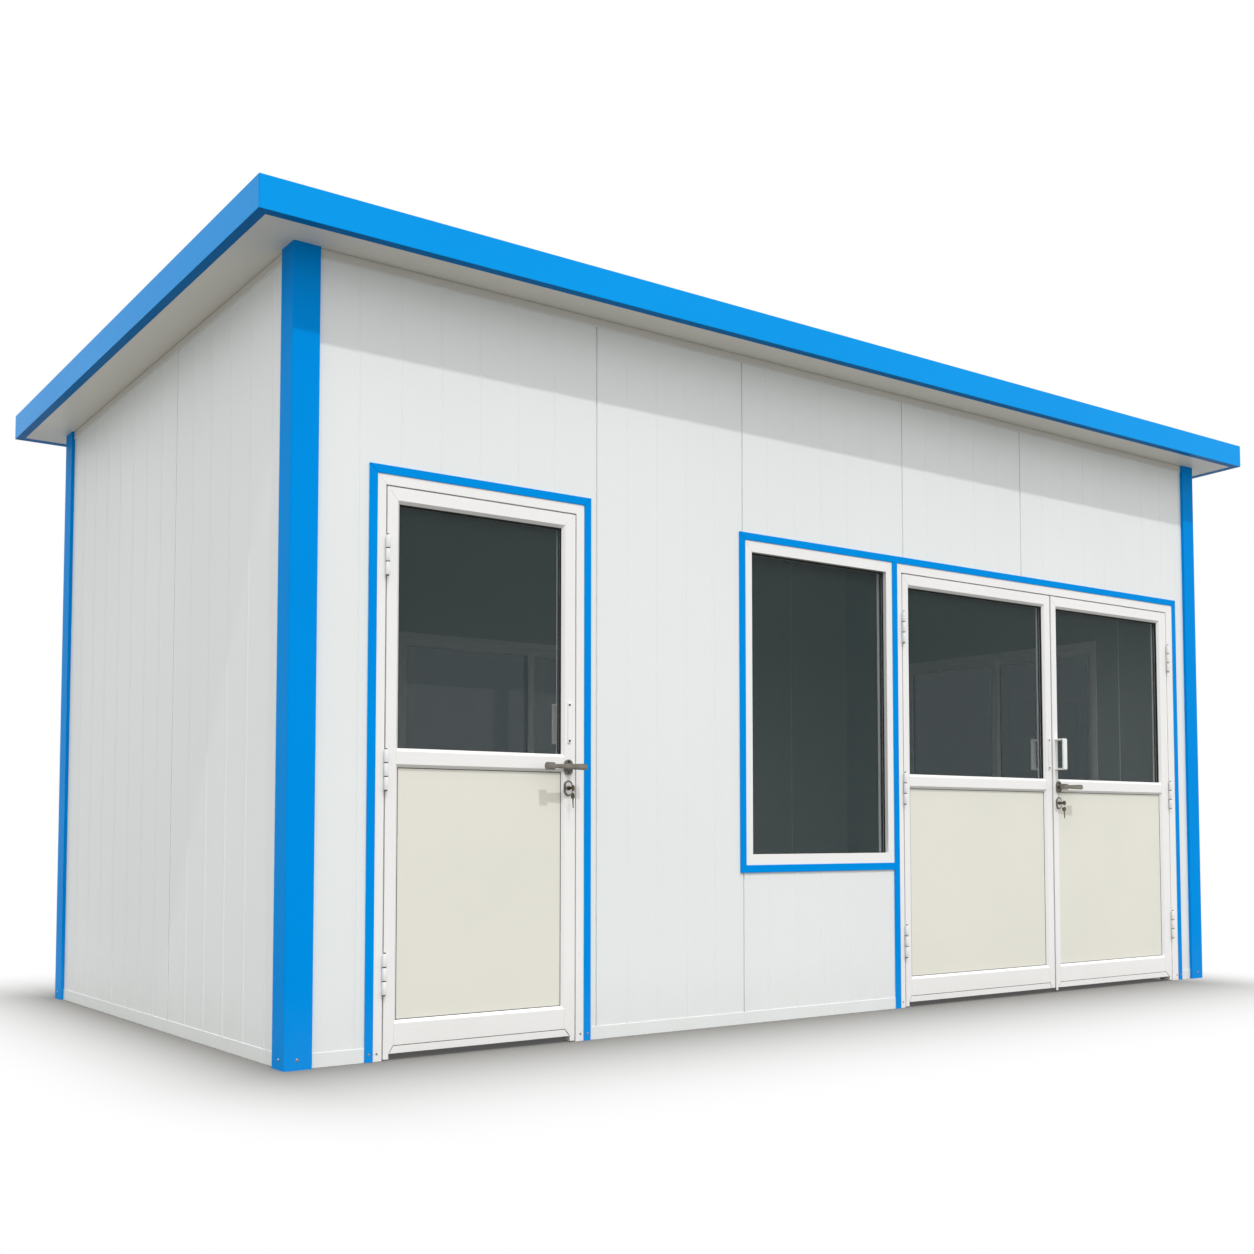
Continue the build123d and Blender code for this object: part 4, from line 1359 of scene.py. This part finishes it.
@dataclass
class LockSet:
    """Lever on its spindle and oval plates of one lock, with its keys."""

    body: str
    lever_body: str
    spindle: Pair
    outer_bar: Pair
    inner_bar: Pair
    front: float = -1338.0 * MM
    back: float = -1293.0 * MM
    reach: float = 52.0 * MM
    drop: float = 80.0 * MM
    thick: float = 12.5 * MM
    thin: float = 8.0 * MM
    drum: float = 14.5 * MM
    drum_length: float = 34.0 * MM
    neck: float = 7.9 * MM
    plate_half: float = 19.5 * MM
    plate_stretch: float = 10.0 * MM
    plate_rim: float = 1.6 * MM
    plate_band: float = 5.0 * MM
    plate_draft: float = 0.4 * MM
    rose: Pair = (5.0 * MM, 1.4 * MM)
    lock: Pair = (4.0 * MM, 1.8 * MM)
    inlay: float = 4.6 * MM
    bar_rim: float = 1.5 * MM
    waist: float = 0.75
    clear: float = 4.0 * MM
    screw: Pair = (3.2 * MM, 0.9 * MM)
    screw_rise: float = 5.2 * MM
    screw_spread: float = 20.0 * MM

    def build(self) -> None:
        """Build lever, plates and keys."""
        self.lever()
        self.plates()
        Keys(self.body, self.spindle[0], self.front - self.inlay, self.spindle[1] - self.drop).build()

    def bar(self, name: str, depth: float, drum_end: float, thick_end: float) -> Piece:
        """Turn one bar along X: thick end, taper, then the drum.

        Args:
            name: Name of the piece.
            depth: Y of the bar's axis.
            drum_end: Place of the drum's end from the spindle.
            thick_end: Place of the thick end from the spindle.

        Returns:
            The bar.
        """
        x, z = self.spindle
        length = abs(thick_end - drum_end) - self.drum_length
        rim = self.bar_rim
        steps = ((rim, self.thick), (length - 2 * rim, self.thin), (rim, self.thin), (0.0, self.drum - rim),
                 (rim, self.drum), (self.drum_length - 2 * rim, self.drum), (rim, self.drum - rim),
                 (0.0, self.drum * 0.6), (-rim, self.drum * 0.55))
        return Bench.turned(name, (x + thick_end, depth, z), Axis.X, steps, back=drum_end < thick_end)

    def lever(self) -> None:
        """Turn both bars, their necks and the spindle."""
        x, z = self.spindle
        pieces = [
            self.bar(f"{self.lever_body}_outer", self.front - self.reach, *self.outer_bar),
            self.bar(f"{self.lever_body}_inner", self.back + self.reach, *self.inner_bar),
        ]
        start = self.front - self.reach
        length = self.back - self.front + 2 * self.reach
        gap, waist = self.reach - self.clear, self.neck * self.waist
        steps = ((gap, self.neck), (0.0, waist), (length - 2 * gap, waist),
                 (0.0, self.neck), (gap, self.neck))
        pieces.append(Bench.turned(f"{self.lever_body}_spindle", (x, start, z), Axis.Y, steps))
        lever = Bench.join(pieces, f"{self.lever_body}_bars")
        Bench.fit(lever, BRUSHED_METAL, self.lever_body, self.lever_body)

    def plate(self, name: str, height: float, outside: bool, steps: Steps) -> Piece:
        """Turn a round plate and stretch it upright to an oval.

        Args:
            name: Name of the piece.
            height: Z of its middle.
            outside: Whether it is on the outside of the leaf.
            steps: Steps of the turned plate.

        Returns:
            The oval plate.
        """
        x = self.spindle[0]
        face = self.front if outside else self.back
        piece = Bench.turned(name, (x, face, height), Axis.Y, steps, back=outside)
        for sign in (-1.0, 1.0):
            Bench.move(piece, lambda point: sign * (point.z - height) > NEAR,
                       (0.0, 0.0, sign * self.plate_stretch))
        Bench.smooth(piece)
        return piece

    def plates(self) -> None:
        """Set the oval roses and lock plates on both faces."""
        (x, z), half, rim, draft = self.spindle, self.plate_half, self.plate_rim, self.plate_draft
        inner = half - self.plate_band
        rose, lock = [((depth, half), (rim, half - rim), (0.0, inner), (-hollow, inner - draft))
                      for depth, hollow in (self.rose, self.lock)]
        face = ((self.inlay, inner - 2 * draft), (draft, inner - 3 * draft))
        rims, inlays = [], []
        for outside in (True, False):
            rims.append(self.plate(f"{self.body}_rose", z, outside, rose))
            rims.append(self.plate(f"{self.body}_lock_plate", z - self.drop, outside, lock))
            inlays.append(self.plate(f"{self.body}_lock_inlay", z - self.drop, outside, face))
        Bench.fit(Bench.join(rims, f"{self.body}_lock_plates"), PLATE_METAL, self.body, f"{self.body}_lock")
        Bench.fit(Bench.join(inlays, f"{self.body}_lock_inlays"), BRIGHT_METAL, self.body)
        places = [((x, self.front - self.screw_rise, z + sign * self.screw_spread), Facing.FRONT)
                  for sign in (-1.0, 1.0)]
        Fixings(*self.screw).row(f"{self.body}_rose_screws", DARK_STEEL, self.body, places)


@dataclass
class Keys:
    """Key cylinder of one lock, the key in it, the ring and the spare key."""

    body: str
    x: float
    face: float
    z: float
    cylinder: Steps = ((4.0 * MM, 9.0 * MM), (1.2 * MM, 8.0 * MM), (0.0, 6.5 * MM), (-1.0 * MM, 6.0 * MM))
    tip: float = 4.2 * MM
    blade_half: float = 1.2 * MM
    blade_length: float = 18.0 * MM
    blade_rise: float = 4.0 * MM
    blade_edge: float = 0.5 * MM
    reach: float = 24.0 * MM
    spare_drop: float = 30.0 * MM
    shank: Pair = (9.0 * MM, 46.0 * MM)
    shank_sides: Pair = (4.0 * MM, 3.0 * MM)
    shank_point: float = 40.0 * MM
    shank_edge: float = 0.4 * MM
    bow_half: float = 1.3 * MM
    bow_radius: float = 11.5 * MM
    bow_hollow: Steps = ((0.0, 8.0 * MM), (-0.8 * MM, 7.5 * MM))
    bow_edge: float = 0.3 * MM
    ring_drop: float = 15.0 * MM
    ring_radius: float = 9.5 * MM
    ring_wire: float = 1.1 * MM
    ring_turn: float = 0.3
    ring_sag: float = 2.0 * MM

    def build(self) -> None:
        """Make the cylinder, both keys and the ring."""
        x, z, half = self.x, self.z, self.blade_half
        cylinder = Bench.turned(f"{self.body}_cylinder", (x, self.face, z), Axis.Y, self.cylinder, back=True)
        tip = self.face - self.tip
        rise = self.blade_rise
        blade = Bench.block(f"{self.body}_key_blade", (x - half, tip - self.blade_length, z - rise),
                            (x + half, tip, z + rise))
        Bench.ease(blade, self.blade_edge)
        middle = tip - self.reach
        bow = self.bow(f"{self.body}_key_bow", middle, z)
        spare_z = z - self.spare_drop
        spare = self.bow(f"{self.body}_spare_bow", middle, spare_z)
        (top, foot), (front, back) = self.shank, self.shank_sides
        shank = Bench.block(f"{self.body}_spare_blade", (x - half, middle - front, spare_z - foot),
                            (x + half, middle + back, spare_z - top))
        Bench.move(shank, lambda point: point.z < spare_z - self.shank_point and point.y > middle,
                   (0.0, -back, 0.0))
        Bench.ease(shank, self.shank_edge)
        Bench.fit(Bench.join([cylinder, blade, bow, spare, shank], f"{self.body}_keys"), KEY_METAL, self.body)
        self.ring(middle)

    def bow(self, name: str, y: float, z: float) -> Piece:
        """Turn the round grip of a key, with a hollow on one side.

        Args:
            name: Name of the piece.
            y: Y of its middle.
            z: Z of its middle.

        Returns:
            The bow.
        """
        steps = ((2 * self.bow_half, self.bow_radius), *self.bow_hollow)
        return Bench.turned(name, (self.x - self.bow_half, y, z), Axis.X, steps, self.bow_edge)

    def ring(self, y: float) -> None:
        """Hang the ring between the two bows.

        Args:
            y: Y of its middle.
        """
        middle = self.z - self.ring_drop
        bpy.ops.mesh.primitive_torus_add(
            location=(self.x, y, middle), rotation=(math.pi / 2, 0.0, self.ring_turn),
            major_radius=self.ring_radius, minor_radius=self.ring_wire, major_segments=32, minor_segments=10)
        ring = Bench.settle(f"{self.body}_key_ring")
        Bench.move(ring, lambda point: point.z < middle, (0.0, 0.0, -self.ring_sag))
        Bench.smooth(ring, 60.0)
        Bench.fit(ring, BRIGHT_METAL, self.body)


@dataclass
class Studio:
    """Camera, lamps, world and floor."""

    camera_place: Point = (-4.6403, -5.9598, 0.7908)
    camera_turn: Point = (93.048, 0.0, -36.395)
    sensor: float = 36.0
    lens: float = 42.13
    shift: float = 0.1012
    sun_heading: float = 8.0
    sun_height: float = 61.0
    sun_strength: float = 1.5
    sun_softness: float = 1.2
    sky_low: float = 0.78
    sky_rise: float = 0.93
    floor_half: float = 40.0
    # The floor's colour, veil, reach, core, shift and haste shape a painted shadow round the booth.
    floor_colour: Point = (0.19, 0.185, 0.172)
    floor_veil: float = 0.08
    floor_reach: float = 1.45
    floor_core: Point = (2.5, 1.35, 0.0)
    floor_shift: Point = (0.15, 0.0, 0.0)
    end_haste: float = 1.8

    def build(self) -> None:
        """Set up the studio."""
        self.camera()
        self.sun()
        self.world()
        self.floor()

    def camera(self) -> None:
        """Stand the camera where the photograph was taken."""
        data = bpy.data.cameras.new("camera")
        data.sensor_width = self.sensor
        data.lens = self.lens
        data.shift_y = self.shift
        made = bpy.data.objects.new("camera", data)
        made.location = self.camera_place
        made.rotation_euler = [math.radians(angle) for angle in self.camera_turn]
        bpy.context.scene.collection.objects.link(made)
        bpy.context.scene.camera = made

    def sun(self) -> None:
        """Hang the main lamp high at the front, a little to the left."""
        data = bpy.data.lights.new("sun", "SUN")
        data.energy = self.sun_strength
        data.angle = math.radians(self.sun_softness)
        made = bpy.data.objects.new("sun", data)
        made.rotation_euler = (math.radians(90.0 - self.sun_height), 0.0, -math.radians(self.sun_heading))
        bpy.context.scene.collection.objects.link(made)

    @staticmethod
    def seen(wires: Wiring) -> Socket:
        """Share that is 1 where the camera, a reflection or glass looks.

        Args:
            wires: Nodes of a material or world.

        Returns:
            The share.
        """
        path = wires.node("ShaderNodeLightPath")
        first = wires.math("MAXIMUM", path.outputs["Is Camera Ray"], path.outputs["Is Glossy Ray"])
        return wires.math("MAXIMUM", first, path.outputs["Is Transmission Ray"])

    def world(self) -> None:
        """Light the booth from a sky that is brighter overhead, before a white background."""
        world = bpy.data.worlds.new("world")
        bpy.context.scene.world = world
        world.use_nodes = True
        wires = Wiring(world.node_tree)
        apart = wires.node("ShaderNodeSeparateXYZ")
        wires.join(wires.node("ShaderNodeTexCoord").outputs["Generated"], apart.inputs[0])
        height = wires.math("MAXIMUM", apart.outputs["Z"], 0.0)
        rise = wires.math("MULTIPLY_ADD", height, self.sky_rise, self.sky_low)
        light = wires.node("ShaderNodeBackground", Color=WHITE)
        wires.join(rise, light.inputs["Strength"])
        white = wires.node("ShaderNodeBackground", Color=WHITE, Strength=1.0)
        mixed = wires.mix(self.seen(wires), light, white)
        wires.join(mixed, wires.node("ShaderNodeOutputWorld").inputs[0])

    def floor(self) -> None:
        """Lay a floor with a painted shadow round the booth: dark matt near it, which also keeps the booth's
        real shadow, turning to white glow away from it for what the camera, reflections and glass see.
        """
        bpy.ops.mesh.primitive_plane_add(size=2.0 * self.floor_half)
        floor = Bench.settle("floor")
        material = bpy.data.materials.new("floor_finish")
        material.use_nodes = True
        wires = Wiring(material.node_tree)
        place = wires.node("ShaderNodeTexCoord").outputs["Object"]
        apart = [wires.node("ShaderNodeVectorMath", operation=step)
                 for step in ("ADD", "ABSOLUTE", "SUBTRACT", "MAXIMUM", "MULTIPLY")]
        apart[0].inputs[1].default_value = self.floor_shift
        apart[2].inputs[1].default_value = self.floor_core
        apart[4].inputs[1].default_value = (self.end_haste, 1.0, 1.0)
        for first, second in zip(apart, apart[1:]):
            wires.join(first.outputs[0], second.inputs[0])
        wires.join(place, apart[0].inputs[0])
        reach = wires.node("ShaderNodeVectorMath", operation="LENGTH")
        wires.join(apart[-1].outputs[0], reach.inputs[0])
        # Painted shadow: a dark band round the booth's footprint, stretched along X, fading out over
        # floor_reach.
        near = wires.spread(reach.outputs["Value"], (0.0, self.floor_reach), (1.0, 0.0), "LINEAR")
        far = wires.math("MULTIPLY_ADD", wires.math("MULTIPLY", near, near), self.floor_veil - 1.0, 1.0)
        matt = wires.node("ShaderNodeBsdfDiffuse", Color=(*self.floor_colour, 1.0))
        white = wires.node("ShaderNodeEmission", Color=WHITE, Strength=1.0)
        mixed = wires.mix(wires.math("MULTIPLY", far, self.seen(wires)), matt, white)
        wires.join(mixed, wires.node("ShaderNodeOutputMaterial").inputs[0])
        floor.data.materials.append(material)


def main() -> None:
    """Build the studio and dress every sub-assembly of the booth."""
    logging.basicConfig(level=logging.INFO, format="%(name)s: %(message)s")
    bpy.context.scene.view_settings.view_transform = "Standard"
    Studio().build()
    Shell().build()
    Roof().build()
    Joinery().build()
    leaves = (
        Leaf("door", "door_leaf", Feet.BOTH),
        Leaf("left_leaf", "left_leaf", Feet.LEFT),
        Leaf("right_leaf", "right_leaf", Feet.RIGHT),
    )
    for leaf in leaves:
        leaf.build()
        Pull(leaf.body, leaf.feet is Feet.RIGHT).build()
    leaves[-1].meeting_strip()
    Hinges.knuckles("frame_hinge_knuckles", BOOTH)
    pair_heights = (299.0 * MM, 990.0 * MM, 1726.0 * MM)
    for hinges in (Hinges("door", -2284.0 * MM), Hinges("left_leaf", 330.0 * MM, heights=pair_heights),
                   Hinges("right_leaf", 2385.0 * MM, heights=pair_heights)):
        hinges.build()
    locks = (
        LockSet("door", "door_lever", (-1512.0 * MM, 1037.0 * MM), (-131.5 * MM, 45.5 * MM),
                (-131.5 * MM, 11.5 * MM)),
        LockSet("right_leaf", "right_leaf_lever", (1444.0 * MM, 1015.0 * MM), (-35.5 * MM, 111.5 * MM),
                (111.5 * MM, -11.5 * MM)),
    )
    for lock in locks:
        lock.build()


if __name__ == "__main__":
    main()
